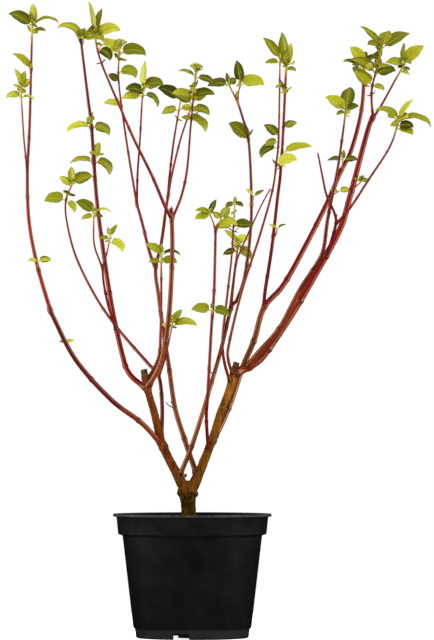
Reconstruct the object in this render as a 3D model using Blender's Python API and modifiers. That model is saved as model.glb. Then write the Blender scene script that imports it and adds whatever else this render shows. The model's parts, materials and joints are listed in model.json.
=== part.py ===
"""A potted dogwood shrub: pot, compost, trunk, two stems, their boughs and leafy masses.

Metres, +Z up, origin at the centre of the pot's underside. Sizes below are millimetres.
"""

import math
import random
from dataclasses import dataclass

import bmesh
import bpy
import numpy as np
from mathutils import Vector

MM = 0.001
GAP = 0.35  # clearance kept between neighbours
SEED = 7

# Pot: a five-litre nursery pot with a folded lip, a deep collar and a stepped foot.
POT_HEIGHT = 176.0
POT_WALL = 2.0
LIP_RADIUS = 112.5
LIP_DEPTH = 4.0
LIP_ROUND = 0.7  # the lip's and the mouth's rounded edges
COLLAR_TOP_RADIUS = 107.8
COLLAR_FOOT_RADIUS = 105.4
COLLAR_FOOT = 147.0  # height where the collar steps in to the body
COLLAR_STEP = 2.0
BODY_TOP_RADIUS = 99.0
BODY_FOOT_RADIUS = 84.0
FOOT_TOP = 13.5
FOOT_TOP_RADIUS = 81.7
FOOT_STEP = 1.2
FOOT_RADIUS = 80.2
FOOT_ROUND = 3.0
FOOT_CORNER = 0.8  # how far the foot's rounded edge is from its square corner
FOOT_RING = 7.0  # width of the ring that the pot stands on
FLOOR_UNDER = 9.0
FLOOR_TOP = 12.0
PAD_RADIUS = 20.0  # round pad in the middle of the underside
POT_SIDES = 48
NOTCH_WIDTH = 24.0
NOTCH_HEIGHT = 8.8
NOTCH_COUNT = 3
NOTCH_TURN = 258.4  # bearing of the first notch in the foot, degrees
DRAIN_COUNT = 6
DRAIN_RADIUS = 5.0
DRAIN_CIRCLE = 48.0

# Compost
COMPOST_TOP = 159.0
COMPOST_DISH = 3.0  # how far it rises at the wall

# Trunk: (x, height, diameter) from the flat cut at the compost to the fork.
TRUNK = (
    (-4, 159.4, 28), (-4, 162, 25), (-5, 167, 22.5), (-5, 180, 20.7),
    (-6, 196, 21), (-8, 207, 25), (-8, 216, 23), (-8, 221, 13),
)

# Limbs
LIMB_STEP = 24.0  # spacing of the sections along a limb
TWIG_STEP = 17.0
LIMB_SIDES = 6
TRUNK_SIDES = 12
STEM_SIDES = 8
TWIG_SIDES = 4
STOUT = 6.0  # limbs at least this thick at their foot get STEM_SIDES

# Leaves
LEAF_THICK = 1.1
LEAF_PIECES = 12  # steps along its arch
LEAF_SLENDER = 0.4  # width over length
YOUNG_RISE = 60.0  # a leaf that rises more steeply is young and still folded
YOUNG_SHARE = 0.6  # width of a folded leaf over that of an open one
LEAF_ROLL = (20.0, 62.0)  # least and most that a blade rolls over on its rib, degrees
LEAF_BACK = 0.2  # share of the leaves that roll the other way
LEAF_STATIONS = ((0.42, 1.0), (0.74, 0.68))  # (share of the length, share of the width)
LEAF_CLEAR = 3.6  # kept from other masses and from the limbs
LEAF_TURNS = (0, 22, -22, 44, -44)  # turns tried for a leaf that would touch something


@dataclass
class Shoot:
    """One limb: where it grows, the way it goes and the leaves that its end carries."""

    name: str
    parent: str
    height: float  # height on the parent's centre line where it grows
    width: tuple  # diameters at its foot and its tip
    mass: str  # the mass of foliage that its leafy end is part of, or nothing
    leafy: float  # height where that mass takes over, 0 for the whole shoot
    route: tuple  # points that it passes after its foot
    # leaves: (below the tip, bearing, length, rise, droop, share of the leaf opposite, or 0 for none,
    # and how far the blades roll over, where that isn't left to chance)
    pairs: tuple = ()


SHOOTS = (
    # the two stems, each cut back above its shoots
    Shoot(
        "left_stem", "trunk", 206, (13.5, 9.5), "", 0,
        route=((-18, -3, 225), (-42, -8, 273), (-53, -10, 316), (-62, -10, 347), (-69, -10, 381)),
    ),
    Shoot(
        "right_stem", "trunk", 206, (14.5, 9), "", 0,
        route=((4, 2, 221), (28, 6, 280), (39, 8, 316), (52, 10, 352), (63, 14, 391)),
    ),
    # left side of the crown
    Shoot(
        "low_left_bough", "left_stem", 271, (5.8, 4.8), "", 0,
        route=((-71, -20, 304), (-115, -34, 338), (-165, -52, 395), (-199, -66, 461)),
    ),
    Shoot(
        "outer_left_bough", "low_left_bough", 461, (4.6, 2.2), "outer_left_leaves", 746,
        route=((-218, -78, 528), (-229, -86, 589), (-231, -92, 653), (-228, -97, 715),
            (-226, -100, 782), (-224, -102, 862)),
        pairs=((1, 80, 34, 82, 6, 0.7), (2, 172, 40, 50, 28, 0, 60), (2, -8, 46, 56, 88, 0, 14),
            (8, -12, 21, 26, 44, 0, 30), (14, 96, 30, 40, 30, 0), (63, 172, 39, 60, 34, 0, 50),
            (63, 100, 16, 70, 10, 0.8)),
    ),
    Shoot(
        "outer_left_sprig", "outer_left_bough", 518, (2, 1.4), "outer_left_bud_leaves", 0,
        route=((-217, -87, 524), (-216, -90, 532)),
        pairs=((0.5, 10, 19, 22, 30, 0.75),),
    ),
    Shoot(
        "outer_left_twig", "outer_left_bough", 620, (2.2, 1.6), "far_left_leaves", 716,
        route=((-232, -108, 668), (-235, -118, 703), (-239, -130, 773)),
        pairs=((0.5, 160, 32, 76, 8, 0), (0.5, 44, 28, 74, 6, 0), (1, 20, 20, 58, 20, 0, 66),
            (1.5, 186, 14, 40, 20, 0, 40), (14, 176, 26, 45, 86, 0, 40), (14, -6, 22, 22, 70, 0, 16),
            (10, 90, 24, 50, 30, 0)),
    ),
    Shoot(
        "left_bough", "left_stem", 352, (6, 2), "left_leaves", 652,
        route=((-89, 0, 374), (-100, 12, 403), (-115, 30, 471), (-128, 48, 553), (-138, 60, 632),
            (-145, 72, 727), (-150, 76, 768), (-161, 80, 857)),
        pairs=((3, 176, 38, 82, 96, 0, 40), (3, -4, 34, 50, 100, 0, 50), (2, -84, 26, 72, 88, 0.9, 10),
            (130, 178, 33, 24, 60, 0, 30), (130, -2, 26, 24, 86, 0, 46), (128, 90, 24, 60, 20, 0.7),
            (181, 178, 32, 26, 50, 0, 26), (181, 0, 28, 14, 100, 0, 40), (177, 60, 26, 66, 10, 0)),
    ),
    Shoot(
        "inner_left_bough", "left_bough", 436, (3.2, 2.4), "low_left_leaves", 511,
        route=((-119, 0, 470), (-125, -22, 500), (-127, -36, 524)),
    ),
    Shoot(
        "inner_left_twig", "inner_left_bough", 524, (2.2, 1.6), "low_left_leaves", 0,
        route=((-138, -44, 555), (-139, -50, 584), (-138, -52, 602)),
        pairs=((2, 172, 31, 48, 28, 0, 56), (1, 4, 25, 42, 66, 0, 12), (6, 176, 19, 14, 44, 0, 40),
            (5, -10, 13, 10, 40, 0, 40), (8, 90, 22, 40, 30, 0)),
    ),
    Shoot(
        "inner_right_twig", "inner_left_bough", 524, (2.2, 1.6), "low_left_leaves", 0,
        route=((-121, -42, 543), (-116, -48, 568)),
        pairs=((0.5, 20, 20, 64, 10, 0), (0.5, 120, 15, 70, 6, 0), (4, 172, 15, 24, 40, 0, 40),
            (9, -6, 26, 16, 94, 0, 44), (8, 96, 20, 30, 30, 0)),
    ),
    Shoot(
        "rear_left_bough", "left_stem", 280, (4.6, 1.8), "rear_left_leaves", 606,
        route=((-43, 14, 327), (-48, 36, 371), (-64, 50, 390), (-105, 86, 437), (-138, 118, 483),
            (-169, 150, 544), (-184, 180, 599), (-185, 184, 629), (-176, 188, 653)),
        pairs=((1, 8, 31, 44, 34, 0, 62), (4, 176, 22, 50, 20, 0, 50), (1, 100, 26, 80, 6, 0),
            (27, 178, 31, 30, 50, 0, 60), (27, 0, 20, -20, 60, 0, 50), (20, 80, 26, 30, 30, 0.8)),
    ),
    Shoot(
        "low_left_sprig", "rear_left_bough", 371, (2.4, 1.6), "low_middle_leaves", 402,
        route=((-41, 34, 390), (-36, 30, 410), (-28, 26, 448)),
        pairs=((1, 30, 25, 60, 14, 0, 40), (7, -6, 38, 34, 58, 0, 34), (7, 176, 16, 30, 30, 0, 40),
            (3, 120, 22, 60, 20, 0), (9, 84, 22, 30, 30, 0)),
    ),
    # middle of the crown, from the left stem
    Shoot(
        "dark_bough", "left_stem", 362, (4, 2), "centre_left_leaves", 512,
        route=((-48, -10, 397), (-45, -14, 429), (-44, -18, 477), (-44, -20, 544)),
        pairs=((1, 172, 26, 50, 22, 0, 46), (1.5, -4, 28, 34, 66, 0, 12), (12, -8, 23, 26, 50, 0, 56),
            (12, 178, 18, 20, 30, 0, 50), (1, 80, 17, 76, 0, 0.9), (10, 84, 26, 30, 30, 0)),
    ),
    Shoot(
        "middle_bough", "left_stem", 355, (6, 4.6), "", 0,
        route=((-49, -22, 380), (-40, -34, 408), (-32, -50, 465), (-28, -64, 545), (-29, -70, 597),
            (-30, -71, 607)),
    ),
    Shoot(
        "front_left_bough", "middle_bough", 594, (3.8, 2), "front_left_leaves", 776,
        route=((-38, -82, 609), (-56, -110, 651), (-80, -138, 699), (-99, -160, 742),
            (-126, -176, 806), (-135, -180, 844)),
        pairs=((0.5, 150, 44, 82, 4, 0), (1, 20, 38, 78, 4, 0), (5, -14, 38, 46, 60, 0, 62),
            (8, 100, 34, 40, 40, 0.7), (22, -30, 26, 4, 80, 0, 40), (44, 100, 22, 30, 30, 0)),
    ),
    Shoot(
        "front_middle_bough", "middle_bough", 590, (3, 1.8), "front_middle_leaves", 712,
        route=((-15, -56, 625), (-7, -44, 665), (-2, -34, 727), (5, -30, 799)),
        pairs=((5, 176, 27, 56, 66, 0, 20), (6, -2, 31, 12, 62, 0, 36), (35, 2, 31, 42, 60, 0, 46),
            (35, 178, 32, 36, 44, 0, 40), (50, -8, 26, 10, 50, 0, 44), (65, -14, 30, 4, 90, 0, 30),
            (66, 170, 14, 30, 20, 0, 50), (20, 80, 28, 30, 40, 0.7)),
    ),
    Shoot(
        "rear_middle_bough", "right_stem", 228, (6, 3.2), "rear_middle_leaves", 615,
        route=((2, 9, 243), (-11, 16, 281), (-25, 26, 327), (-34, 40, 387), (-41, 50, 430),
            (-49, 62, 489), (-53, 70, 524), (-45, 100, 565), (-39, 130, 612), (-36, 140, 632)),
    ),
    Shoot(
        "rear_far_twig", "rear_middle_bough", 632, (2.8, 1.8), "rear_middle_leaves", 0,
        route=((-34, 160, 662), (-28, 200, 717), (-18, 224, 778)),
        pairs=((1, 170, 35, 44, 32, 0, 62), (5, 84, 30, 40, 38, 0.9), (16, 4, 24, 20, 50, 0, 40),
            (18, 176, 24, 20, 50, 0, 50), (34, 80, 22, 20, 30, 0)),
    ),
    Shoot(
        "rear_near_twig", "rear_middle_bough", 632, (2.8, 1.8), "rear_middle_leaves", 0,
        route=((-30, 142, 666), (-18, 146, 715), (-7, 150, 749), (0, 152, 770)),
        pairs=((1, 24, 28, 56, 30, 0, 50), (3, 172, 28, 46, 34, 0, 50), (10, -76, 24, 20, 60, 0, 10),
            (20, 80, 26, 10, 30, 0), (24, -10, 22, 10, 50, 0, 50)),
    ),
    Shoot(
        "centre_bough", "rear_middle_bough", 527, (4, 3), "centre_leaves", 601,
        route=((-61, 72, 547), (-73, 76, 594), (-80, 80, 618)),
    ),
    Shoot(
        "centre_left_twig", "centre_bough", 618, (2.8, 1.8), "centre_leaves", 0,
        route=((-91, 86, 683), (-102, 90, 757), (-107, 92, 805), (-105, 94, 841)),
        pairs=((6, 172, 33, 50, 22, 0, 60), (6, -4, 38, 38, 72, 0, 56), (34, -20, 33, 44, 118, 0, 50),
            (46, 176, 18, 50, 20, 0, 60), (16, 80, 30, 30, 40, 0.8), (82, 170, 26, 34, 30, 0, 40),
            (80, 150, 16, 64, 10, 0)),
    ),
    Shoot(
        "centre_right_twig", "centre_bough", 618, (2.6, 1.8), "centre_leaves", 0,
        route=((-80, 130, 663), (-77, 160, 715), (-74, 186, 776), (-71, 190, 792)),
        pairs=((1, 84, 40, 84, 6, 0), (1.5, -10, 32, 58, 86, 0, 66), (5, 186, 25, 30, 40, 0, 60),
            (12, 176, 30, 16, 38, 0, 50), (11, 6, 29, 18, 108, 0, 34), (10, 96, 28, 30, 30, 0)),
    ),
    # middle of the crown, on the right
    Shoot(
        "tall_bough", "left_stem", 228, (5.4, 2.6), "tall_leaves", 690,
        route=((-12, -10, 244), (0, -22, 274), (15, -26, 320), (30, -12, 371), (42, 20, 414),
            (55, 50, 468), (64, 52, 482), (75, 50, 516), (83, 46, 580), (84, 44, 637), (80, 42, 709),
            (71, 41, 743), (63, 40, 768)),
        pairs=((62, 168, 32, 56, 24, 0, 60), (60, 80, 22, 40, 20, 0)),
    ),
    Shoot(
        "tall_left_twig", "tall_bough", 764, (2, 1.5), "tall_leaves", 0,
        route=((58, 38, 776), (52, 36, 788)),
        pairs=((1, 176, 26, 24, 42, 0, 50), (0.5, 140, 15, 76, 0, 0), (1, 50, 15, 50, 20, 0, 50),
            (3, 80, 20, 40, 30, 0)),
    ),
    Shoot(
        "tall_right_twig", "tall_bough", 764, (2, 1.5), "tall_leaves", 0,
        route=((66, 42, 778), (69, 44, 790)),
        pairs=((0.5, 130, 30, 76, 4, 0, 50), (3, 0, 30, 38, 68, 0, 58), (2, 80, 22, 60, 20, 0),
            (4, -100, 15, 30, 40, 0)),
    ),
    Shoot(
        "tall_sprig", "tall_bough", 613, (2, 1.4), "tall_bud_leaves", 0,
        route=((86, 41, 621), (88, 38, 629)),
        pairs=((1, 170, 16, 40, 10, 1),),
    ),
    Shoot(
        "short_bough", "tall_bough", 466, (4, 1.8), "centre_right_leaves", 544,
        route=((56, 58, 484), (59, 74, 510), (63, 92, 542), (65, 99, 564)),
        pairs=((1, 168, 32, 58, 16, 0, 26), (2, 40, 28, 60, 70, 0, 50), (6, -70, 30, 40, 70, 0, 16),
            (9, -10, 30, -10, 56, 0, 60), (8, 70, 30, 26, 40, 0), (14, 160, 26, 10, 40, 0, 50)),
    ),
    Shoot(
        "bare_twig", "short_bough", 530, (2.2, 1.5), "", 0,
        route=((68, 87, 550), (98, 98, 616), (112, 100, 642)),
    ),
    Shoot(
        "front_bough", "right_stem", 266, (3.8, 3), "front_leaves", 566,
        route=((20, -46, 312), (22, -70, 345), (27, -92, 435), (31, -100, 491), (33, -108, 574)),
    ),
    Shoot(
        "front_left_twig", "front_bough", 574, (1.9, 1.4), "front_leaves", 0,
        route=((30, -110, 584), (25, -111, 598)),
        pairs=((0.5, 34, 25, 68, 8, 0, 30), (1, 174, 25, 36, 42, 0, 40), (4, 180, 25, 10, 38, 0, 46),
            (3, 96, 18, 40, 20, 0)),
    ),
    Shoot(
        "front_right_twig", "front_bough", 574, (1.9, 1.4), "front_leaves", 0,
        route=((38, -108, 581), (41, -107, 591)),
        pairs=((0.5, 36, 25, 58, 24, 0, 60), (1, 168, 17, 48, 20, 0, 60), (6, -6, 28, 22, 56, 0, 50),
            (4, 100, 20, 40, 30, 0)),
    ),
    Shoot(
        "front_sprig", "front_bough", 454, (2, 1.4), "front_low_leaves", 0,
        route=((28, -100, 460), (28, -103, 465)),
        pairs=((4, 176, 31, 26, 36, 0, 54), (4, -8, 27, 14, 58, 0, 50), (0.5, 96, 14, 66, 10, 0.9)),
    ),
    Shoot(
        "slim_bough", "right_stem", 360, (3.6, 1.6), "middle_leaves", 558,
        route=((45, -12, 393), (43, -22, 425), (51, -28, 498), (56, -26, 544), (60, -25, 614)),
        pairs=((0.5, 178, 15, 30, 90, 0.95, 56), (0.5, 60, 13, 80, 0, 0.9), (32, 14, 30, 22, 30, 0, 50),
            (32, 180, 28, 20, 40, 0, 50), (40, 100, 28, 20, 20, 0), (14, 90, 16, 30, 10, 0)),
    ),
    Shoot(
        "front_right_bough", "right_stem", 372, (3.4, 1.8), "tall_front_leaves", 664,
        route=((51, -17, 394), (52, -24, 417), (70, -42, 491), (95, -52, 568), (113, -56, 632),
            (119, -56, 674), (122, -54, 708), (124, -52, 818)),
        pairs=((1, 176, 35, 58, 8, 0, 64), (5, 180, 19, 14, 26, 0, 40), (3, 60, 26, 56, 20, 0),
            (6, -60, 20, 20, 50, 0), (40, 80, 26, 30, 30, 0.7), (110, 170, 26, 56, 30, 0, 50),
            (118, 178, 18, 20, 60, 0, 56), (126, 174, 28, 16, 90, 0, 50), (150, -24, 32, 34, 44, 0, 60),
            (152, 90, 24, 30, 30, 0), (158, -150, 18, 20, 60, 0, 40)),
    ),
    # right side of the crown
    Shoot(
        "right_bough", "right_stem", 283, (6.6, 2.6), "right_leaves", 736,
        route=((38, 19, 296), (56, 30, 338), (70, 38, 380), (88, 42, 423), (102, 45, 469),
            (130, 62, 502), (160, 86, 555), (193, 112, 620), (214, 126, 668), (230, 136, 701),
            (245, 148, 761), (249, 150, 827)),
        pairs=((1, 176, 30, 56, 8, 0, 68), (2, 10, 27, 58, 82, 0, 40), (6, 178, 33, 28, 22, 0, 24),
            (5, 96, 28, 62, 20, 0), (12, -120, 28, 20, 50, 0, 20), (30, 84, 30, 10, 30, 0.7)),
    ),
    Shoot(
        "rear_right_bough", "right_bough", 469, (4, 2.2), "rear_right_leaves", 652,
        route=((104, 62, 494), (114, 104, 557), (123, 144, 633), (127, 168, 664), (131, 184, 721),
            (136, 190, 824)),
        pairs=((1, 120, 50, 80, 4, 0), (2, 40, 37, 78, 4, 0), (4, -10, 15, 20, 60, 0, 40),
            (40, 84, 26, 40, 30, 0.8), (90, 10, 21, 44, 34, 0, 46), (128, 4, 42, 34, 34, 0, 30),
            (146, 90, 26, 10, 20, 0.8)),
    ),
    Shoot(
        "rear_right_sprig", "rear_right_bough", 571, (2, 1.4), "rear_bud_leaves", 0,
        route=((120, 112, 577), (122, 108, 585)),
        pairs=((0.5, 166, 14, 38, 20, 1),),
    ),
    Shoot(
        "right_low_sprig", "right_bough", 627, (2, 1.4), "right_bud_leaves", 0,
        route=((203, 113, 634), (211, 112, 639)),
        pairs=((0.5, 8, 18, 20, 20, 0.8),),
    ),
    Shoot(
        "right_high_sprig", "right_bough", 668, (2, 1.4), "right_side_leaves", 0,
        route=((216, 124, 677), (217, 122, 685)),
        pairs=((0.5, 172, 24, 14, 20, 1), (0.5, 84, 18, 66, 0, 0.8)),
    ),
    Shoot(
        "outer_right_bough", "right_stem", 376, (8, 4.4), "outer_right_leaves", 732,
        route=((75, 17, 382), (89, 20, 390), (104, 24, 405), (139, 30, 456), (173, 34, 513),
            (210, 36, 580), (225, 38, 628), (250, 40, 721), (259, 40, 744)),
    ),
    Shoot(
        "outer_upper_twig", "outer_right_bough", 742, (2.8, 1.8), "outer_right_leaves", 0,
        route=((256, 40, 764), (257, 42, 786), (264, 43, 812), (271, 44, 841)),
        pairs=((1, -75, 42, 50, 22, 0, 4), (1, 174, 44, 56, 16, 0, 20), (1, 4, 46, 40, 18, 0, 50),
            (14, 120, 28, 66, 10, 0), (36, 60, 30, 74, 8, 0), (38, 176, 42, 50, 34, 0, 50),
            (40, -4, 31, 40, 52, 0, 58), (56, 174, 34, 50, 20, 0, 62), (58, -10, 21, 30, 88, 0, 40),
            (20, 90, 30, 50, 20, 0), (70, 90, 24, 20, 30, 0)),
    ),
    Shoot(
        "outer_lower_twig", "outer_right_bough", 738, (2.8, 1.8), "outer_right_leaves", 0,
        route=((269, 38, 757), (278, 37, 773), (290, 36, 795), (303, 36, 817)),
        pairs=((0.5, 10, 40, 52, 12, 0, 52), (0.5, 90, 33, 84, 2, 0), (2, 172, 28, 42, 64, 0, 46),
            (7, -20, 13, 10, 40, 0, 40), (12, -8, 15, -6, 30, 0, 40), (8, 84, 26, 40, 30, 0)),
    ),
    Shoot(
        "outer_right_sprig", "outer_right_bough", 636, (2, 1.4), "outer_bud_leaves", 0,
        route=((234, 36, 643), (241, 35, 649)),
        pairs=((0.5, 28, 16, 26, 20, 1), (0.5, 118, 14, 46, 10, 0.9)),
    ),
    Shoot(
        "upper_right_bough", "outer_right_bough", 384, (6.2, 1.8), "upper_right_leaves", 700,
        route=((93, 4, 403), (124, -6, 439), (152, -14, 492), (177, -22, 531), (186, -29, 552),
            (192, -40, 596), (206, -54, 668), (217, -61, 748)),
        pairs=((1, 80, 46, 58, 8, 0, 0), (2, 176, 36, 46, 22, 0, 60), (4, 0, 23, 46, 44, 0, 50),
            (5, 190, 15, 0, 40, 0, 40), (6, -70, 18, 20, 50, 0), (10, 90, 24, 20, 30, 0)),
    ),
    Shoot(
        "side_bough", "outer_right_bough", 543, (4, 1.8), "", 0,
        route=((197, 10, 561), (203, -30, 586), (201, -50, 600), (189, -80, 625), (184, -94, 645),
            (176, -120, 682)),
    ),
    Shoot(
        "far_right_bough", "side_bough", 586, (3, 2), "far_right_leaves", 700,
        route=((222, -60, 607), (247, -92, 645), (276, -128, 690), (289, -135, 727)),
        pairs=((0.5, 12, 37, 64, 4, 0, 40), (1, 176, 44, 64, 84, 0, 40), (3, -6, 54, 37, 88, 0, 20),
            (9, -20, 25, 20, 40, 0, 60), (13, -12, 27, 4, 44, 0, 46), (8, 96, 30, 40, 30, 0)),
    ),
)


# Materials and collections


def material(name, colour, roughness):
    made = bpy.data.materials.new(name)
    made.use_nodes = True
    shader = made.node_tree.nodes["Principled BSDF"]
    shader.inputs["Base Color"].default_value = (*colour, 1.0)
    shader.inputs["Roughness"].default_value = roughness
    made.diffuse_color = (*colour, 1.0)
    return made


def collection(name):
    made = bpy.data.collections.new(name)
    bpy.context.scene.collection.children.link(made)
    return made


def add_object(name, mesh, group):
    made = bpy.data.objects.new(name, mesh)
    group.objects.link(made)
    return made


def finish(obj, look):
    """Give a finished piece its own material and round shading."""
    obj.data.materials.clear()
    obj.data.materials.append(material(obj.name, *look))
    obj.data.shade_smooth()
    obj.data.set_sharp_from_angle(angle=math.radians(40))


# Mesh tools


def apply_modifiers(obj):
    evaluated = obj.evaluated_get(bpy.context.evaluated_depsgraph_get())
    mesh = bpy.data.meshes.new_from_object(evaluated)
    obj.modifiers.clear()
    obj.data = mesh


def boolean(obj, operation, group):
    """Cut the group's objects from obj, or join them to it, and remove them."""
    modifier = obj.modifiers.new(operation.lower(), "BOOLEAN")
    modifier.operation = operation
    modifier.operand_type = "COLLECTION"
    modifier.collection = group
    modifier.solver = "EXACT"
    apply_modifiers(obj)
    for used in list(group.objects):
        bpy.data.objects.remove(used)


def keep_largest(obj):
    """Drop the loose scraps that a cut leaves beside the piece."""
    shape = bmesh.new()
    shape.from_mesh(obj.data)
    left = set(shape.verts)
    bodies = []
    while left:
        body = {left.pop()}
        edge = list(body)
        while edge:
            near = {e.other_vert(v) for v in edge for e in v.link_edges} - body
            body |= near
            edge = list(near)
        left -= body
        bodies.append(body)
    bodies.sort(key=len)
    scraps = [v for body in bodies[:-1] for v in body]
    bmesh.ops.delete(shape, geom=scraps, context="VERTS")
    shape.to_mesh(obj.data)
    shape.free()


def mark_cutter(obj):
    obj.hide_render = True
    obj.display_type = "WIRE"


def turned(name, profile, group):
    """A solid of revolution from (radius, height) points, from the axis round to the axis."""
    mesh = bpy.data.meshes.new(name)
    verts = [(r * MM, 0, z * MM) for r, z in profile]
    mesh.from_pydata(verts, [(n, n + 1) for n in range(len(profile) - 1)], [])
    made = add_object(name, mesh, group)
    screw = made.modifiers.new("turn", "SCREW")
    screw.steps = screw.render_steps = POT_SIDES
    screw.use_merge_vertices = True
    screw.merge_threshold = 0.00001
    apply_modifiers(made)
    return made


def tube(name, samples, sides, group, fat=0.0):
    """A closed tube through (point, radius) samples, thicker and longer by fat."""
    points = [p for p, r in samples]
    if fat:
        points[0] = points[0] + (points[0] - points[1]).normalized() * fat
        points[-1] = points[-1] + (points[-1] - points[-2]).normalized() * fat
    curve = bpy.data.curves.new(name, "CURVE")
    curve.dimensions = "3D"
    curve.bevel_depth = MM
    curve.bevel_resolution = (sides - 4) // 2
    curve.use_fill_caps = True
    spline = curve.splines.new("POLY")
    spline.points.add(len(points) - 1)
    for place, point, (_, radius) in zip(spline.points, points, samples):
        place.co = (*(point * MM), 1.0)
        place.radius = radius + fat
    source = add_object(name + ".curve", curve, group)
    mesh = bpy.data.meshes.new_from_object(source.evaluated_get(bpy.context.evaluated_depsgraph_get()))
    bpy.data.objects.remove(source)
    shape = bmesh.new()
    shape.from_mesh(mesh)
    bmesh.ops.remove_doubles(shape, verts=shape.verts, dist=0.00001)
    shape.to_mesh(mesh)
    shape.free()
    return add_object(name, mesh, group)


# Centre lines


def smooth_line(points, widths, step):
    """(point, radius) samples on a smooth curve through the points, tapering evenly."""
    ends = [points[0] * 2 - points[1], *points, points[-1] * 2 - points[-2]]
    line = [points[0]]
    for a, b, c, d in zip(ends, ends[1:], ends[2:], ends[3:]):
        pieces = max(1, round((c - b).length / step))
        for n in range(1, pieces + 1):
            t = n / pieces
            bend = (2 * a - 5 * b + 4 * c - d) * t**2 + (3 * b - a - 3 * c + d) * t**3
            line.append((2 * b + (c - a) * t + bend) / 2)
    run = [0.0]
    for a, b in zip(line, line[1:]):
        run.append(run[-1] + (b - a).length)
    foot, tip = widths
    return [(p, (foot + (tip - foot) * s / run[-1]) / 2) for p, s in zip(line, run)]


def at_height(line, height):
    """Where the line first rises to a height, as (index after, point, radius)."""
    for n, ((a, ra), (b, rb)) in enumerate(zip(line, line[1:])):
        if a.z <= height < b.z:
            t = (height - a.z) / (b.z - a.z)
            return n + 1, a.lerp(b, t), ra + (rb - ra) * t
    return len(line) - 1, line[-1][0].copy(), line[-1][1]


def below_tip(line, distance):
    """The point on the line at a distance back from its tip."""
    for (b, _), (a, _) in zip(reversed(line), list(reversed(line))[1:]):
        length = (b - a).length
        if distance <= length:
            return b.lerp(a, distance / length)
        distance -= length
    return line[0][0].copy()


def trunk_line():
    return [(Vector((x, 0, z)), width / 2) for x, z, width in TRUNK]


def centre_lines():
    lines = {"trunk": trunk_line()}
    for shoot in SHOOTS:
        start = at_height(lines[shoot.parent], shoot.height)[1]
        whole = shoot.mass and not shoot.leafy
        points = [start, *(Vector(p) for p in shoot.route)]
        lines[shoot.name] = smooth_line(points, shoot.width, TWIG_STEP if whole else LIMB_STEP)
    return lines


def split_lines(lines):
    """The part of each line that is a bough, and the part that is a mass's stem."""
    boughs = {"trunk": lines["trunk"]}
    stems = {}
    for shoot in SHOOTS:
        line = lines[shoot.name]
        if not shoot.mass:
            boughs[shoot.name] = line
        elif not shoot.leafy:
            stems[shoot.name] = line
        else:
            after, point, radius = at_height(line, shoot.leafy)
            onward = (line[after][0] - line[after - 1][0]).normalized()
            boughs[shoot.name] = [*line[:after], (point - onward * GAP, radius)]
            stems[shoot.name] = [(point, radius), *line[after:]]
    return boughs, stems


# Leaves


def leaf_frame(root, bearing, rise, droop, roll, length):
    """(share, point, side, up) along an arching leaf, from its root to its tip."""
    turn = math.radians(bearing)
    tilt = math.radians(roll)
    heading = Vector((math.cos(turn), math.sin(turn), 0))
    level = Vector((-math.sin(turn), math.cos(turn), 0))
    frame = []
    point = root.copy()
    for n in range(LEAF_PIECES + 1):
        pitch = math.radians(rise - droop * n / LEAF_PIECES)
        ahead = heading * math.cos(pitch) + Vector((0, 0, math.sin(pitch)))
        above = ahead.cross(level)
        side = level * math.cos(tilt) + above * math.sin(tilt)
        frame.append((n / LEAF_PIECES, point.copy(), side, ahead.cross(side)))
        point += ahead * length / LEAF_PIECES
    return frame


def leaf_points(frame, width):
    """Points spread over the blade, for the test of what it would touch."""
    across = (-0.9, -0.45, 0, 0.45, 0.9)
    return [point + side * width / 2 * share for _, point, side, _ in frame[3:] for share in across]


def leaf_solid(name, frame, width, group):
    """A thin blade, pointed at both ends, thickest along its rib."""
    nearest = [min(frame, key=lambda f: abs(f[0] - share)) for share, _ in LEAF_STATIONS]
    verts = [frame[0][1]]
    for (_, point, side, up), (_, wide) in zip(nearest, LEAF_STATIONS):
        half = width / 2 * wide
        thick = up * LEAF_THICK / 2
        verts += [point - side * half, point + thick, point + side * half, point - thick]
    verts.append(frame[-1][1])
    tip = len(verts) - 1
    faces = []
    for n in range(4):
        after = (n + 1) % 4
        faces += [(0, 1 + n, 1 + after), (1 + n, 5 + n, 5 + after, 1 + after), (5 + n, tip, 5 + after)]
    mesh = bpy.data.meshes.new(name)
    mesh.from_pydata([v * MM for v in verts], [], faces)
    shape = bmesh.new()
    shape.from_mesh(mesh)
    bmesh.ops.recalc_face_normals(shape, faces=shape.faces)
    shape.to_mesh(mesh)
    shape.free()
    return add_object(name, mesh, group)


def distance_to_line(points, line):
    """Least clearance between an array of points and a tapering limb."""
    least = math.inf
    for (a, ra), (b, rb) in zip(line, line[1:]):
        start = np.array(a)
        along = np.array(b) - start
        share = np.clip((points - start) @ along / (along @ along), 0, 1)
        near = start + share[:, None] * along
        least = min(least, (np.linalg.norm(points - near, axis=1) - max(ra, rb)).min())
    return least


class Crown:
    """What is already in the crown, so that each mass keeps to its own space."""

    def __init__(self, boughs, stems):
        self.boughs = boughs
        self.stems = stems
        self.owner = {shoot.name: shoot.mass for shoot in SHOOTS}
        self.leaves = []

    def is_clear(self, points, mass):
        if any(distance_to_line(points, line) < LEAF_CLEAR for line in self.boughs.values()):
            return False
        others = (line for name, line in self.stems.items() if self.owner[name] != mass)
        if any(distance_to_line(points, line) < LEAF_CLEAR for line in others):
            return False
        for owner, placed in self.leaves:
            if owner != mass:
                apart = np.linalg.norm(points[:, None] - placed[None], axis=2).min()
                if apart < LEAF_CLEAR:
                    return False
        return True


def grow_leaf(crown, mass, root, leaf, name, group):
    """One leaf, turned a little if it would touch something, or none."""
    bearing, length, rise, droop, roll = leaf
    width = length * LEAF_SLENDER * (YOUNG_SHARE if rise > YOUNG_RISE else 1)
    for turn in LEAF_TURNS:
        frame = leaf_frame(root, bearing + turn, rise, droop, roll, length)
        points = np.array([tuple(p) for p in leaf_points(frame, width)])
        if crown.is_clear(points, mass):
            crown.leaves.append((mass, points))
            leaf_solid(name, frame, width, group)
            return
    print("no room for", name)


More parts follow.
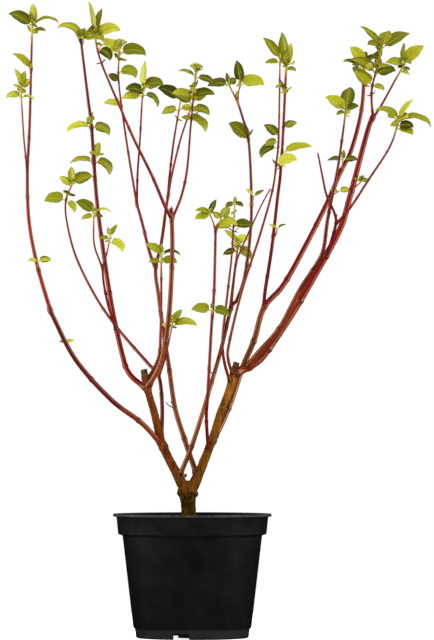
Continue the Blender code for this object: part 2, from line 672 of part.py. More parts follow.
def grow_leaves(crown, shoot, line, group):
    """The leaves of a shoot, singly or in opposite pairs, each a little unlike its twin."""
    chance = random.Random(f"{SEED} {shoot.name}")
    for n, (below, bearing, length, rise, droop, second, *given) in enumerate(shoot.pairs):
        root = below_tip(line, below)
        for half, share in enumerate((1.0, second) if second else (1.0,)):
            turn = bearing + 180 * half + chance.uniform(-5, 5)
            roll = given[0] if given else chance.uniform(*LEAF_ROLL)
            roll = math.copysign(roll, math.cos(math.radians(turn)))
            if not given and chance.random() < LEAF_BACK:
                roll = -roll
            leaf = (turn, length * share * chance.uniform(0.96, 1.04), rise + chance.uniform(-3, 3),
                    droop + chance.uniform(0, 6), roll)
            grow_leaf(crown, shoot.mass, root, leaf, f"{shoot.name}.leaf{n}{half}", group)


# Pieces


def inner_wall():
    """The inside of the pot from its mouth down, as (radius, height)."""
    foot = FOOT_TOP_RADIUS - POT_WALL
    return (
        (COLLAR_TOP_RADIUS - POT_WALL, POT_HEIGHT - LIP_ROUND),
        (COLLAR_FOOT_RADIUS - POT_WALL, COLLAR_FOOT + POT_WALL + COLLAR_STEP),
        (BODY_TOP_RADIUS - POT_WALL, COLLAR_FOOT + POT_WALL),
        (BODY_FOOT_RADIUS - POT_WALL, FOOT_TOP + POT_WALL + FOOT_STEP),
        (foot, FOOT_TOP + POT_WALL), (foot, FLOOR_TOP),
    )


def pot_profile():
    ring = FOOT_RADIUS - FOOT_RING
    return (
        (0, FLOOR_TOP), *reversed(inner_wall()), (COLLAR_TOP_RADIUS - POT_WALL + LIP_ROUND, POT_HEIGHT),
        (LIP_RADIUS - LIP_ROUND, POT_HEIGHT), (LIP_RADIUS, POT_HEIGHT - LIP_ROUND),
        (LIP_RADIUS, POT_HEIGHT - LIP_DEPTH), (COLLAR_TOP_RADIUS, POT_HEIGHT - LIP_DEPTH - LIP_ROUND),
        (COLLAR_FOOT_RADIUS, COLLAR_FOOT), (BODY_TOP_RADIUS, COLLAR_FOOT - COLLAR_STEP),
        (BODY_FOOT_RADIUS, FOOT_TOP + FOOT_STEP), (FOOT_TOP_RADIUS, FOOT_TOP), (FOOT_RADIUS, FOOT_ROUND),
        (FOOT_RADIUS - FOOT_CORNER, FOOT_CORNER), (FOOT_RADIUS - FOOT_ROUND, 0), (ring, 0),
        (ring, FLOOR_UNDER), (PAD_RADIUS + 1, FLOOR_UNDER), (PAD_RADIUS, 0), (0, 0),
    )


def cut_notches(pot, cutters):
    """The openings in the foot that let water out, and the holes in the floor."""
    for n in range(NOTCH_COUNT):
        turn = math.radians(NOTCH_TURN + 360 * n / NOTCH_COUNT)
        bpy.ops.mesh.primitive_cube_add(size=1)
        box = bpy.context.object
        box.scale = (FOOT_RADIUS / 2 * MM, NOTCH_WIDTH * MM, NOTCH_HEIGHT * 2 * MM)
        box.location = (FOOT_RADIUS * math.cos(turn) * MM, FOOT_RADIUS * math.sin(turn) * MM, 0)
        box.rotation_euler = (0, 0, turn)
        move_to(box, cutters)
    for n in range(DRAIN_COUNT):
        turn = math.radians(NOTCH_TURN + 360 * (n + 0.5) / DRAIN_COUNT)
        depth = FLOOR_TOP * 3 * MM
        bpy.ops.mesh.primitive_cylinder_add(vertices=12, radius=DRAIN_RADIUS * MM, depth=depth)
        hole = bpy.context.object
        hole.location = Vector((math.cos(turn), math.sin(turn), 0)) * DRAIN_CIRCLE * MM
        hole.location.z = FLOOR_TOP * MM
        move_to(hole, cutters)
    boolean(pot, "DIFFERENCE", cutters)


def move_to(obj, group):
    for old in list(obj.users_collection):
        old.objects.unlink(obj)
    group.objects.link(obj)
    mark_cutter(obj)


def make_pot(parts, cutters):
    pot = turned("pot", pot_profile(), parts)
    cut_notches(pot, cutters)
    finish(pot, POT_LOOK)


def make_compost(parts):
    wall = [(r - GAP, z + GAP) for r, z in inner_wall()[1:]]
    edge = wall[0][0]
    surface = ((0, COMPOST_TOP), (edge * 0.5, COMPOST_TOP), (edge, COMPOST_TOP + COMPOST_DISH))
    profile = (*surface, *wall, (0, FLOOR_TOP + GAP))
    finish(turned("compost", profile, parts), COMPOST_LOOK)


def foot_is_near(line, other):
    """Whether the first stretch of a limb comes close to another limb."""
    foot = [p for p, _ in line[:4]]
    near = [a.lerp(b, t / 6) for a, b in zip(foot, foot[1:]) for t in range(7)]
    reach = line[0][1] + 2
    return distance_to_line(np.array([tuple(p) for p in near]), other) < reach


def trim_foot(obj, name, line, boughs, cutters):
    """Seat the foot of a limb on those that it grows from, clear by the gap."""
    for other, other_line in boughs.items():
        if other == name:
            break
        if foot_is_near(line, other_line):
            mark_cutter(tube(other + ".cutter", other_line, sides_of(other_line), cutters, GAP))
    if cutters.objects:
        boolean(obj, "DIFFERENCE", cutters)
        keep_largest(obj)


def sides_of(line):
    if line[0][1] * 2 >= TRUNK[0][2]:
        return TRUNK_SIDES
    return STEM_SIDES if line[0][1] * 2 >= STOUT else LIMB_SIDES


def make_trunk(lines, parts):
    finish(tube("trunk", lines["trunk"], TRUNK_SIDES, parts), BARK_LOOK)


def make_boughs(boughs, parts, cutters):
    for shoot in SHOOTS:
        if shoot.name in boughs:
            line = boughs[shoot.name]
            limb = tube(shoot.name, line, sides_of(line), parts)
            trim_foot(limb, shoot.name, line, boughs, cutters)
            finish(limb, BARK_LOOK if shoot.width[0] >= 12 else SHOOT_LOOK)


def make_mass(mass, shoots, boughs, stems, crown, parts, cutters, pieces):
    """One mass: its stem, the twigs on that and their leaves, joined into one solid."""
    first = shoots[0]
    stem = tube(mass, stems[first.name], TWIG_SIDES, parts)
    if not first.leafy:
        trim_foot(stem, "", stems[first.name], {first.parent: boughs[first.parent]}, cutters)
    for shoot in shoots[1:]:
        tube(shoot.name + ".twig", stems[shoot.name], TWIG_SIDES, pieces)
    for shoot in shoots:
        grow_leaves(crown, shoot, stems[shoot.name], pieces)
    boolean(stem, "UNION", pieces)
    keep_largest(stem)
    finish(stem, LEAF_LOOK)


def make_masses(boughs, stems, parts, cutters, pieces):
    crown = Crown(boughs, stems)
    names = dict.fromkeys(shoot.mass for shoot in SHOOTS if shoot.mass)
    for mass in names:
        shoots = [shoot for shoot in SHOOTS if shoot.mass == mass]
        make_mass(mass, shoots, boughs, stems, crown, parts, cutters, pieces)


POT_LOOK = ((0.018, 0.018, 0.017), 0.5)
COMPOST_LOOK = ((0.05, 0.03, 0.018), 0.95)
BARK_LOOK = ((0.2, 0.1, 0.03), 0.8)
SHOOT_LOOK = ((0.3, 0.03, 0.025), 0.5)
LEAF_LOOK = ((0.3, 0.38, 0.02), 0.55)


def main():
    for old in list(bpy.data.objects):
        bpy.data.objects.remove(old)
    parts = collection("potted_dogwood")
    cutters = collection("cutters")
    pieces = collection("pieces")
    make_pot(parts, cutters)
    make_compost(parts)
    lines = centre_lines()
    boughs, stems = split_lines(lines)
    make_trunk(lines, parts)
    make_boughs(boughs, parts, cutters)
    make_masses(boughs, stems, parts, cutters, pieces)


main()
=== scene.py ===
"""The potted dogwood shrub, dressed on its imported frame.

The tables are in millimetres, as in the part's source, and the scene is in metres.
"""

import json
import math
import random
from dataclasses import dataclass, replace

import bpy
import numpy as np
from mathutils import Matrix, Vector, noise

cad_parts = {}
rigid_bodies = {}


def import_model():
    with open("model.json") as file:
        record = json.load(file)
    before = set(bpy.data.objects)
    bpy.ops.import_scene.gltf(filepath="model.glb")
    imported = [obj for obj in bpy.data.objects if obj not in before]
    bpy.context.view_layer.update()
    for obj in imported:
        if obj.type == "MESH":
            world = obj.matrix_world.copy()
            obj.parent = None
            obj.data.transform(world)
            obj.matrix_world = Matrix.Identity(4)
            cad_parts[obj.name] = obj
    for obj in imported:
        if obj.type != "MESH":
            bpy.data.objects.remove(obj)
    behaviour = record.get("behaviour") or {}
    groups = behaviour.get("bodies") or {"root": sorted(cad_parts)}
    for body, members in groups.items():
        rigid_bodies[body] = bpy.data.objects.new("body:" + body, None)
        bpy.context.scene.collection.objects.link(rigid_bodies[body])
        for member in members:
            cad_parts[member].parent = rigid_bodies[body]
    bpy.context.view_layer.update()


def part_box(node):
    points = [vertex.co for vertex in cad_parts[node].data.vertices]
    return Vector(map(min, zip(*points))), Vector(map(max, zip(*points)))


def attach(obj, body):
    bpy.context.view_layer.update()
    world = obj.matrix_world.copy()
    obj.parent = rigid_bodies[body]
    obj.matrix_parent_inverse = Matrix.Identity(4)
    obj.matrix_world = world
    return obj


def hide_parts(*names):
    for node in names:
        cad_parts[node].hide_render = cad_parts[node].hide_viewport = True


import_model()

MM = 0.001
GAP = 0.35  # clearance that the solids keep
SEED = 7

# Pot, as in the part's source
POT_HEIGHT = 176.0
POT_WALL = 2.0
LIP_RADIUS = 112.5
LIP_DEPTH = 4.0
COLLAR_TOP_RADIUS = 107.8
COLLAR_FOOT_RADIUS = 105.4
COLLAR_FOOT = 147.0
COLLAR_STEP = 2.0
BODY_TOP_RADIUS = 99.0
BODY_FOOT_RADIUS = 84.0
FOOT_TOP = 13.5
FOOT_TOP_RADIUS = 81.7
FOOT_RADIUS = 80.2
FOOT_ROUND = 3.0
FOOT_RING = 7.0
FLOOR_UNDER = 9.0
FLOOR_TOP = 12.0
PAD_RADIUS = 20.0
NOTCH_WIDTH = 24.0
NOTCH_HEIGHT = 8.8
NOTCH_COUNT = 3
NOTCH_TURN = 258.4
DRAIN_COUNT = 6
DRAIN_RADIUS = 5.0
DRAIN_CIRCLE = 48.0

# Rounded edges of the pot
RIM_ROUND = 0.9
LIP_ROUND = 0.7
COLLAR_ROUND = 1.2
POT_STEPS = 160

# Compost
COMPOST_TOP = 159.0
COMPOST_DISH = 3.0
COMPOST_SECTORS = 144
COMPOST_RINGS = 46
CRUMBS = ((1.5, 0.07), (1.0, 0.23), (0.5, 0.6))  # (height, waves per millimetre)
CHIPS = 900
CHIP_SIZES = (1.2, 1.6, 2.0, 2.6, 3.6)
CHIP_EDGE = 9.0  # chips keep this far from the wall
CHIP_TRUNK = 15.0  # and this far from the trunk's middle

# Trunk: (x, height, diameter) from the compost to the fork
TRUNK = (
    (-4, 159.4, 28), (-4, 162, 25), (-5, 167, 22.5), (-5, 180, 20.7),
    (-6, 196, 21), (-8, 207, 25), (-8, 216, 23), (-8, 221, 13),
)

# Limbs, as the part's source lays them out
LIMB_STEP = 24.0
TWIG_STEP = 17.0

# Leaves, as the part's source grows them
LEAF_PIECES = 12
LEAF_SLENDER = 0.4
YOUNG_RISE = 60.0
YOUNG_SHARE = 0.6
LEAF_ROLL = (20.0, 62.0)
LEAF_BACK = 0.2
LEAF_CLEAR = 3.6
LEAF_TURNS = (0, 22, -22, 44, -44)
LEAF_ACROSS = (-0.9, -0.45, 0, 0.45, 0.9)  # places across a blade that are kept clear
LEAF_STALK = 3  # pieces of a leaf before its blade
# how far chance takes a leaf from what its row says
TURN_STRAY = 5
LENGTH_STRAY = (0.96, 1.04)
RISE_STRAY = 3
DROOP_STRAY = 6


@dataclass
class Shoot:
    """One limb, as in the part's source."""

    name: str
    parent: str
    height: float  # height on the parent's centre line where it grows
    width: tuple  # diameters at its foot and its tip
    mass: str  # the mass of foliage that its leafy end is part of, or nothing
    leafy: float  # height where that mass takes over, 0 for the whole shoot
    route: tuple  # points that it passes after its foot
    # leaves: (below the tip, bearing, length, rise, droop, share of the leaf opposite, or 0 for none,
    # and how far the blades roll over, where that isn't left to chance)
    pairs: tuple = ()


SHOOTS = [Shoot(*row) for row in (
    # the two stems, each cut back above its shoots
    ("left_stem", "trunk", 206, (13.5, 9.5), "", 0,
     ((-18, -3, 225), (-42, -8, 273), (-53, -10, 316), (-62, -10, 347), (-69, -10, 381))),
    ("right_stem", "trunk", 206, (14.5, 9), "", 0,
     ((4, 2, 221), (28, 6, 280), (39, 8, 316), (52, 10, 352), (63, 14, 391))),
    # left side of the crown
    ("low_left_bough", "left_stem", 271, (5.8, 4.8), "", 0,
     ((-71, -20, 304), (-115, -34, 338), (-165, -52, 395), (-199, -66, 461))),
    ("outer_left_bough", "low_left_bough", 461, (4.6, 2.2), "outer_left_leaves", 746,
     ((-218, -78, 528), (-229, -86, 589), (-231, -92, 653), (-228, -97, 715), (-226, -100, 782),
      (-224, -102, 862)),
     ((1, 80, 34, 82, 6, 0.7), (2, 172, 40, 50, 28, 0, 60), (2, -8, 46, 56, 88, 0, 14),
      (8, -12, 21, 26, 44, 0, 30), (14, 96, 30, 40, 30, 0), (63, 172, 39, 60, 34, 0, 50),
      (63, 100, 16, 70, 10, 0.8))),
    ("outer_left_sprig", "outer_left_bough", 518, (2, 1.4), "outer_left_bud_leaves", 0,
     ((-217, -87, 524), (-216, -90, 532)),
     ((0.5, 10, 19, 22, 30, 0.75),)),
    ("outer_left_twig", "outer_left_bough", 620, (2.2, 1.6), "far_left_leaves", 716,
     ((-232, -108, 668), (-235, -118, 703), (-239, -130, 773)),
     ((0.5, 160, 32, 76, 8, 0), (0.5, 44, 28, 74, 6, 0), (1, 20, 20, 58, 20, 0, 66),
      (1.5, 186, 14, 40, 20, 0, 40), (14, 176, 26, 45, 86, 0, 40), (14, -6, 22, 22, 70, 0, 16),
      (10, 90, 24, 50, 30, 0))),
    ("left_bough", "left_stem", 352, (6, 2), "left_leaves", 652,
     ((-89, 0, 374), (-100, 12, 403), (-115, 30, 471), (-128, 48, 553), (-138, 60, 632), (-145, 72, 727),
      (-150, 76, 768), (-161, 80, 857)),
     ((3, 176, 38, 82, 96, 0, 40), (3, -4, 34, 50, 100, 0, 50), (2, -84, 26, 72, 88, 0.9, 10),
      (130, 178, 33, 24, 60, 0, 30), (130, -2, 26, 24, 86, 0, 46), (128, 90, 24, 60, 20, 0.7),
      (181, 178, 32, 26, 50, 0, 26), (181, 0, 28, 14, 100, 0, 40), (177, 60, 26, 66, 10, 0))),
    ("inner_left_bough", "left_bough", 436, (3.2, 2.4), "low_left_leaves", 511,
     ((-119, 0, 470), (-125, -22, 500), (-127, -36, 524))),
    ("inner_left_twig", "inner_left_bough", 524, (2.2, 1.6), "low_left_leaves", 0,
     ((-138, -44, 555), (-139, -50, 584), (-138, -52, 602)),
     ((2, 172, 31, 48, 28, 0, 56), (1, 4, 25, 42, 66, 0, 12), (6, 176, 19, 14, 44, 0, 40),
      (5, -10, 13, 10, 40, 0, 40), (8, 90, 22, 40, 30, 0))),
    ("inner_right_twig", "inner_left_bough", 524, (2.2, 1.6), "low_left_leaves", 0,
     ((-121, -42, 543), (-116, -48, 568)),
     ((0.5, 20, 20, 64, 10, 0), (0.5, 120, 15, 70, 6, 0), (4, 172, 15, 24, 40, 0, 40),
      (9, -6, 26, 16, 94, 0, 44), (8, 96, 20, 30, 30, 0))),
    ("rear_left_bough", "left_stem", 280, (4.6, 1.8), "rear_left_leaves", 606,
     ((-43, 14, 327), (-48, 36, 371), (-64, 50, 390), (-105, 86, 437), (-138, 118, 483), (-169, 150, 544),
      (-184, 180, 599), (-185, 184, 629), (-176, 188, 653)),
     ((1, 8, 31, 44, 34, 0, 62), (4, 176, 22, 50, 20, 0, 50), (1, 100, 26, 80, 6, 0),
      (27, 178, 31, 30, 50, 0, 60), (27, 0, 20, -20, 60, 0, 50), (20, 80, 26, 30, 30, 0.8))),
    ("low_left_sprig", "rear_left_bough", 371, (2.4, 1.6), "low_middle_leaves", 402,
     ((-41, 34, 390), (-36, 30, 410), (-28, 26, 448)),
     ((1, 30, 25, 60, 14, 0, 40), (7, -6, 38, 34, 58, 0, 34), (7, 176, 16, 30, 30, 0, 40),
      (3, 120, 22, 60, 20, 0), (9, 84, 22, 30, 30, 0))),
    # middle of the crown, from the left stem
    ("dark_bough", "left_stem", 362, (4, 2), "centre_left_leaves", 512,
     ((-48, -10, 397), (-45, -14, 429), (-44, -18, 477), (-44, -20, 544)),
     ((1, 172, 26, 50, 22, 0, 46), (1.5, -4, 28, 34, 66, 0, 12), (12, -8, 23, 26, 50, 0, 56),
      (12, 178, 18, 20, 30, 0, 50), (1, 80, 17, 76, 0, 0.9), (10, 84, 26, 30, 30, 0))),
    ("middle_bough", "left_stem", 355, (6, 4.6), "", 0,
     ((-49, -22, 380), (-40, -34, 408), (-32, -50, 465), (-28, -64, 545), (-29, -70, 597),
      (-30, -71, 607))),
    ("front_left_bough", "middle_bough", 594, (3.8, 2), "front_left_leaves", 776,
     ((-38, -82, 609), (-56, -110, 651), (-80, -138, 699), (-99, -160, 742), (-126, -176, 806),
      (-135, -180, 844)),
     ((0.5, 150, 44, 82, 4, 0), (1, 20, 38, 78, 4, 0), (5, -14, 38, 46, 60, 0, 62),
      (8, 100, 34, 40, 40, 0.7), (22, -30, 26, 4, 80, 0, 40), (44, 100, 22, 30, 30, 0))),
    ("front_middle_bough", "middle_bough", 590, (3, 1.8), "front_middle_leaves", 712,
     ((-15, -56, 625), (-7, -44, 665), (-2, -34, 727), (5, -30, 799)),
     ((5, 176, 27, 56, 66, 0, 20), (6, -2, 31, 12, 62, 0, 36), (35, 2, 31, 42, 60, 0, 46),
      (35, 178, 32, 36, 44, 0, 40), (50, -8, 26, 10, 50, 0, 44), (65, -14, 30, 4, 90, 0, 30),
      (66, 170, 14, 30, 20, 0, 50), (20, 80, 28, 30, 40, 0.7))),
    ("rear_middle_bough", "right_stem", 228, (6, 3.2), "rear_middle_leaves", 615,
     ((2, 9, 243), (-11, 16, 281), (-25, 26, 327), (-34, 40, 387), (-41, 50, 430), (-49, 62, 489),
      (-53, 70, 524), (-45, 100, 565), (-39, 130, 612), (-36, 140, 632))),
    ("rear_far_twig", "rear_middle_bough", 632, (2.8, 1.8), "rear_middle_leaves", 0,
     ((-34, 160, 662), (-28, 200, 717), (-18, 224, 778)),
     ((1, 170, 35, 44, 32, 0, 62), (5, 84, 30, 40, 38, 0.9), (16, 4, 24, 20, 50, 0, 40),
      (18, 176, 24, 20, 50, 0, 50), (34, 80, 22, 20, 30, 0))),
    ("rear_near_twig", "rear_middle_bough", 632, (2.8, 1.8), "rear_middle_leaves", 0,
     ((-30, 142, 666), (-18, 146, 715), (-7, 150, 749), (0, 152, 770)),
     ((1, 24, 28, 56, 30, 0, 50), (3, 172, 28, 46, 34, 0, 50), (10, -76, 24, 20, 60, 0, 10),
      (20, 80, 26, 10, 30, 0), (24, -10, 22, 10, 50, 0, 50))),
    ("centre_bough", "rear_middle_bough", 527, (4, 3), "centre_leaves", 601,
     ((-61, 72, 547), (-73, 76, 594), (-80, 80, 618))),
    ("centre_left_twig", "centre_bough", 618, (2.8, 1.8), "centre_leaves", 0,
     ((-91, 86, 683), (-102, 90, 757), (-107, 92, 805), (-105, 94, 841)),
     ((6, 172, 33, 50, 22, 0, 60), (6, -4, 38, 38, 72, 0, 56), (34, -20, 33, 44, 118, 0, 50),
      (46, 176, 18, 50, 20, 0, 60), (16, 80, 30, 30, 40, 0.8), (82, 170, 26, 34, 30, 0, 40),
      (80, 150, 16, 64, 10, 0))),
    ("centre_right_twig", "centre_bough", 618, (2.6, 1.8), "centre_leaves", 0,
     ((-80, 130, 663), (-77, 160, 715), (-74, 186, 776), (-71, 190, 792)),
     ((1, 84, 40, 84, 6, 0), (1.5, -10, 32, 58, 86, 0, 66), (5, 186, 25, 30, 40, 0, 60),
      (12, 176, 30, 16, 38, 0, 50), (11, 6, 29, 18, 108, 0, 34), (10, 96, 28, 30, 30, 0))),
    # middle of the crown, on the right
    ("tall_bough", "left_stem", 228, (5.4, 2.6), "tall_leaves", 690,
     ((-12, -10, 244), (0, -22, 274), (15, -26, 320), (30, -12, 371), (42, 20, 414), (55, 50, 468),
      (64, 52, 482), (75, 50, 516), (83, 46, 580), (84, 44, 637), (80, 42, 709), (71, 41, 743),
      (63, 40, 768)),
     ((62, 168, 32, 56, 24, 0, 60), (60, 80, 22, 40, 20, 0))),
    ("tall_left_twig", "tall_bough", 764, (2, 1.5), "tall_leaves", 0,
     ((58, 38, 776), (52, 36, 788)),
     ((1, 176, 26, 24, 42, 0, 50), (0.5, 140, 15, 76, 0, 0), (1, 50, 15, 50, 20, 0, 50),
      (3, 80, 20, 40, 30, 0))),
    ("tall_right_twig", "tall_bough", 764, (2, 1.5), "tall_leaves", 0,
     ((66, 42, 778), (69, 44, 790)),
     ((0.5, 130, 30, 76, 4, 0, 50), (3, 0, 30, 38, 68, 0, 58), (2, 80, 22, 60, 20, 0),
      (4, -100, 15, 30, 40, 0))),
    ("tall_sprig", "tall_bough", 613, (2, 1.4), "tall_bud_leaves", 0,
     ((86, 41, 621), (88, 38, 629)),
     ((1, 170, 16, 40, 10, 1),)),
    ("short_bough", "tall_bough", 466, (4, 1.8), "centre_right_leaves", 544,
     ((56, 58, 484), (59, 74, 510), (63, 92, 542), (65, 99, 564)),
     ((1, 168, 32, 58, 16, 0, 26), (2, 40, 28, 60, 70, 0, 50), (6, -70, 30, 40, 70, 0, 16),
      (9, -10, 30, -10, 56, 0, 60), (8, 70, 30, 26, 40, 0), (14, 160, 26, 10, 40, 0, 50))),
    ("bare_twig", "short_bough", 530, (2.2, 1.5), "", 0,
     ((68, 87, 550), (98, 98, 616), (112, 100, 642))),
    ("front_bough", "right_stem", 266, (3.8, 3), "front_leaves", 566,
     ((20, -46, 312), (22, -70, 345), (27, -92, 435), (31, -100, 491), (33, -108, 574))),
    ("front_left_twig", "front_bough", 574, (1.9, 1.4), "front_leaves", 0,
     ((30, -110, 584), (25, -111, 598)),
     ((0.5, 34, 25, 68, 8, 0, 30), (1, 174, 25, 36, 42, 0, 40), (4, 180, 25, 10, 38, 0, 46),
      (3, 96, 18, 40, 20, 0))),
    ("front_right_twig", "front_bough", 574, (1.9, 1.4), "front_leaves", 0,
     ((38, -108, 581), (41, -107, 591)),
     ((0.5, 36, 25, 58, 24, 0, 60), (1, 168, 17, 48, 20, 0, 60), (6, -6, 28, 22, 56, 0, 50),
      (4, 100, 20, 40, 30, 0))),
    ("front_sprig", "front_bough", 454, (2, 1.4), "front_low_leaves", 0,
     ((28, -100, 460), (28, -103, 465)),
     ((4, 176, 31, 26, 36, 0, 54), (4, -8, 27, 14, 58, 0, 50), (0.5, 96, 14, 66, 10, 0.9))),
    ("slim_bough", "right_stem", 360, (3.6, 1.6), "middle_leaves", 558,
     ((45, -12, 393), (43, -22, 425), (51, -28, 498), (56, -26, 544), (60, -25, 614)),
     ((0.5, 178, 15, 30, 90, 0.95, 56), (0.5, 60, 13, 80, 0, 0.9), (32, 14, 30, 22, 30, 0, 50),
      (32, 180, 28, 20, 40, 0, 50), (40, 100, 28, 20, 20, 0), (14, 90, 16, 30, 10, 0))),
    ("front_right_bough", "right_stem", 372, (3.4, 1.8), "tall_front_leaves", 664,
     ((51, -17, 394), (52, -24, 417), (70, -42, 491), (95, -52, 568), (113, -56, 632), (119, -56, 674),
      (122, -54, 708), (124, -52, 818)),
     ((1, 176, 35, 58, 8, 0, 64), (5, 180, 19, 14, 26, 0, 40), (3, 60, 26, 56, 20, 0),
      (6, -60, 20, 20, 50, 0), (40, 80, 26, 30, 30, 0.7), (110, 170, 26, 56, 30, 0, 50),
      (118, 178, 18, 20, 60, 0, 56), (126, 174, 28, 16, 90, 0, 50), (150, -24, 32, 34, 44, 0, 60),
      (152, 90, 24, 30, 30, 0), (158, -150, 18, 20, 60, 0, 40))),
    # right side of the crown
    ("right_bough", "right_stem", 283, (6.6, 2.6), "right_leaves", 736,
     ((38, 19, 296), (56, 30, 338), (70, 38, 380), (88, 42, 423), (102, 45, 469), (130, 62, 502),
      (160, 86, 555), (193, 112, 620), (214, 126, 668), (230, 136, 701), (245, 148, 761), (249, 150, 827)),
     ((1, 176, 30, 56, 8, 0, 68), (2, 10, 27, 58, 82, 0, 40), (6, 178, 33, 28, 22, 0, 24),
      (5, 96, 28, 62, 20, 0), (12, -120, 28, 20, 50, 0, 20), (30, 84, 30, 10, 30, 0.7))),
    ("rear_right_bough", "right_bough", 469, (4, 2.2), "rear_right_leaves", 652,
     ((104, 62, 494), (114, 104, 557), (123, 144, 633), (127, 168, 664), (131, 184, 721), (136, 190, 824)),
     ((1, 120, 50, 80, 4, 0), (2, 40, 37, 78, 4, 0), (4, -10, 15, 20, 60, 0, 40), (40, 84, 26, 40, 30, 0.8),
      (90, 10, 21, 44, 34, 0, 46), (128, 4, 42, 34, 34, 0, 30), (146, 90, 26, 10, 20, 0.8))),
    ("rear_right_sprig", "rear_right_bough", 571, (2, 1.4), "rear_bud_leaves", 0,
     ((120, 112, 577), (122, 108, 585)),
     ((0.5, 166, 14, 38, 20, 1),)),
    ("right_low_sprig", "right_bough", 627, (2, 1.4), "right_bud_leaves", 0,
     ((203, 113, 634), (211, 112, 639)),
     ((0.5, 8, 18, 20, 20, 0.8),)),
    ("right_high_sprig", "right_bough", 668, (2, 1.4), "right_side_leaves", 0,
     ((216, 124, 677), (217, 122, 685)),
     ((0.5, 172, 24, 14, 20, 1), (0.5, 84, 18, 66, 0, 0.8))),
    ("outer_right_bough", "right_stem", 376, (8, 4.4), "outer_right_leaves", 732,
     ((75, 17, 382), (89, 20, 390), (104, 24, 405), (139, 30, 456), (173, 34, 513), (210, 36, 580),
      (225, 38, 628), (250, 40, 721), (259, 40, 744))),
    ("outer_upper_twig", "outer_right_bough", 742, (2.8, 1.8), "outer_right_leaves", 0,
     ((256, 40, 764), (257, 42, 786), (264, 43, 812), (271, 44, 841)),
     ((1, -75, 42, 50, 22, 0, 4), (1, 174, 44, 56, 16, 0, 20), (1, 4, 46, 40, 18, 0, 50),
      (14, 120, 28, 66, 10, 0), (36, 60, 30, 74, 8, 0), (38, 176, 42, 50, 34, 0, 50),
      (40, -4, 31, 40, 52, 0, 58), (56, 174, 34, 50, 20, 0, 62), (58, -10, 21, 30, 88, 0, 40),
      (20, 90, 30, 50, 20, 0), (70, 90, 24, 20, 30, 0))),
    ("outer_lower_twig", "outer_right_bough", 738, (2.8, 1.8), "outer_right_leaves", 0,
     ((269, 38, 757), (278, 37, 773), (290, 36, 795), (303, 36, 817)),
     ((0.5, 10, 40, 52, 12, 0, 52), (0.5, 90, 33, 84, 2, 0), (2, 172, 28, 42, 64, 0, 46),
      (7, -20, 13, 10, 40, 0, 40), (12, -8, 15, -6, 30, 0, 40), (8, 84, 26, 40, 30, 0))),
    ("outer_right_sprig", "outer_right_bough", 636, (2, 1.4), "outer_bud_leaves", 0,
     ((234, 36, 643), (241, 35, 649)),
     ((0.5, 28, 16, 26, 20, 1), (0.5, 118, 14, 46, 10, 0.9))),
    ("upper_right_bough", "outer_right_bough", 384, (6.2, 1.8), "upper_right_leaves", 700,
     ((93, 4, 403), (124, -6, 439), (152, -14, 492), (177, -22, 531), (186, -29, 552), (192, -40, 596),
      (206, -54, 668), (217, -61, 748)),
     ((1, 80, 46, 58, 8, 0, 0), (2, 176, 36, 46, 22, 0, 60), (4, 0, 23, 46, 44, 0, 50),
      (5, 190, 15, 0, 40, 0, 40), (6, -70, 18, 20, 50, 0), (10, 90, 24, 20, 30, 0))),
    ("side_bough", "outer_right_bough", 543, (4, 1.8), "", 0,
     ((197, 10, 561), (203, -30, 586), (201, -50, 600), (189, -80, 625), (184, -94, 645),
      (176, -120, 682))),
    ("far_right_bough", "side_bough", 586, (3, 2), "far_right_leaves", 700,
     ((222, -60, 607), (247, -92, 645), (276, -128, 690), (289, -135, 727)),
     ((0.5, 12, 37, 64, 4, 0, 40), (1, 176, 44, 64, 84, 0, 40), (3, -6, 54, 37, 88, 0, 20),
      (9, -20, 25, 20, 40, 0, 60), (13, -12, 27, 4, 44, 0, 46), (8, 96, 30, 40, 30, 0))),
)]

# What only the dressed plant has, in the same millimetres

# tones of each limb's bark at its foot and further up, by the names of TONES
LIMB_TONE = {
    "middle_bough": ("russet", "brick"), "rear_middle_bough": ("russet", "brick"),
    "tall_bough": ("russet", "dark red"), "short_bough": ("brick", "crimson"),
    "low_left_bough": ("brick", "dark red"), "outer_left_bough": ("red", "crimson"),
    "left_bough": ("crimson", "dark red"), "rear_left_bough": ("dark red", "crimson"),
    "dark_bough": ("dark red", "crimson"), "slim_bough": ("brick", "crimson"),
    "front_right_bough": ("brick", "crimson"), "right_bough": ("russet", "crimson"),
    "outer_right_bough": ("brick", "crimson"), "upper_right_bough": ("brick", "dark red"),
}
OTHER_TONES = ("crimson", "crimson")  # and of the rest
TONE_TURN = 0.34  # share of a limb where its tone turns
STRAY = (7.0, 0.12)  # how far the edge of a tone strays, and its waves per millimetre
NODE_SPACE = 96.0  # between the bare nodes of a shoot
NODE_CLEAR = 22.0  # least distance of a bare node from a fork or a leafy one
TIP_PAIR = 1.5  # leaves this near a tip have no node of their own
NODE_SWELL = (0.2, 2.6)  # how much stouter a limb is at a node, and over what length
FOOT_FLARE = (0.45, 5.0)  # the same at its foot
SCARRED = 20.0  # nodes this far below the leaves have a scar
BUD_CLEAR = (8.0, 26.0)  # least distances of a node with buds from the parent and from the tip
BUD_LENGTH = 4.6
BUD_STOUT = 2.2  # limbs thinner than this radius have smaller buds
BUD_SHAPE = ((0, 0.5), (0.25, 1.0), (0.55, 0.85), (0.8, 0.5), (1, 0.08))  # (share of length, radius)
RING_STEP = 2.0
ROUGH_WAVES = 0.22  # waves per millimetre of a limb's roughness
SHOOT_ROUGH = 0.02
SHOOT_SIDES = 12
TWIG_SIDES = 8
TWIG_WIDTH = 2.3  # shoots up to this wide have TWIG_SIDES
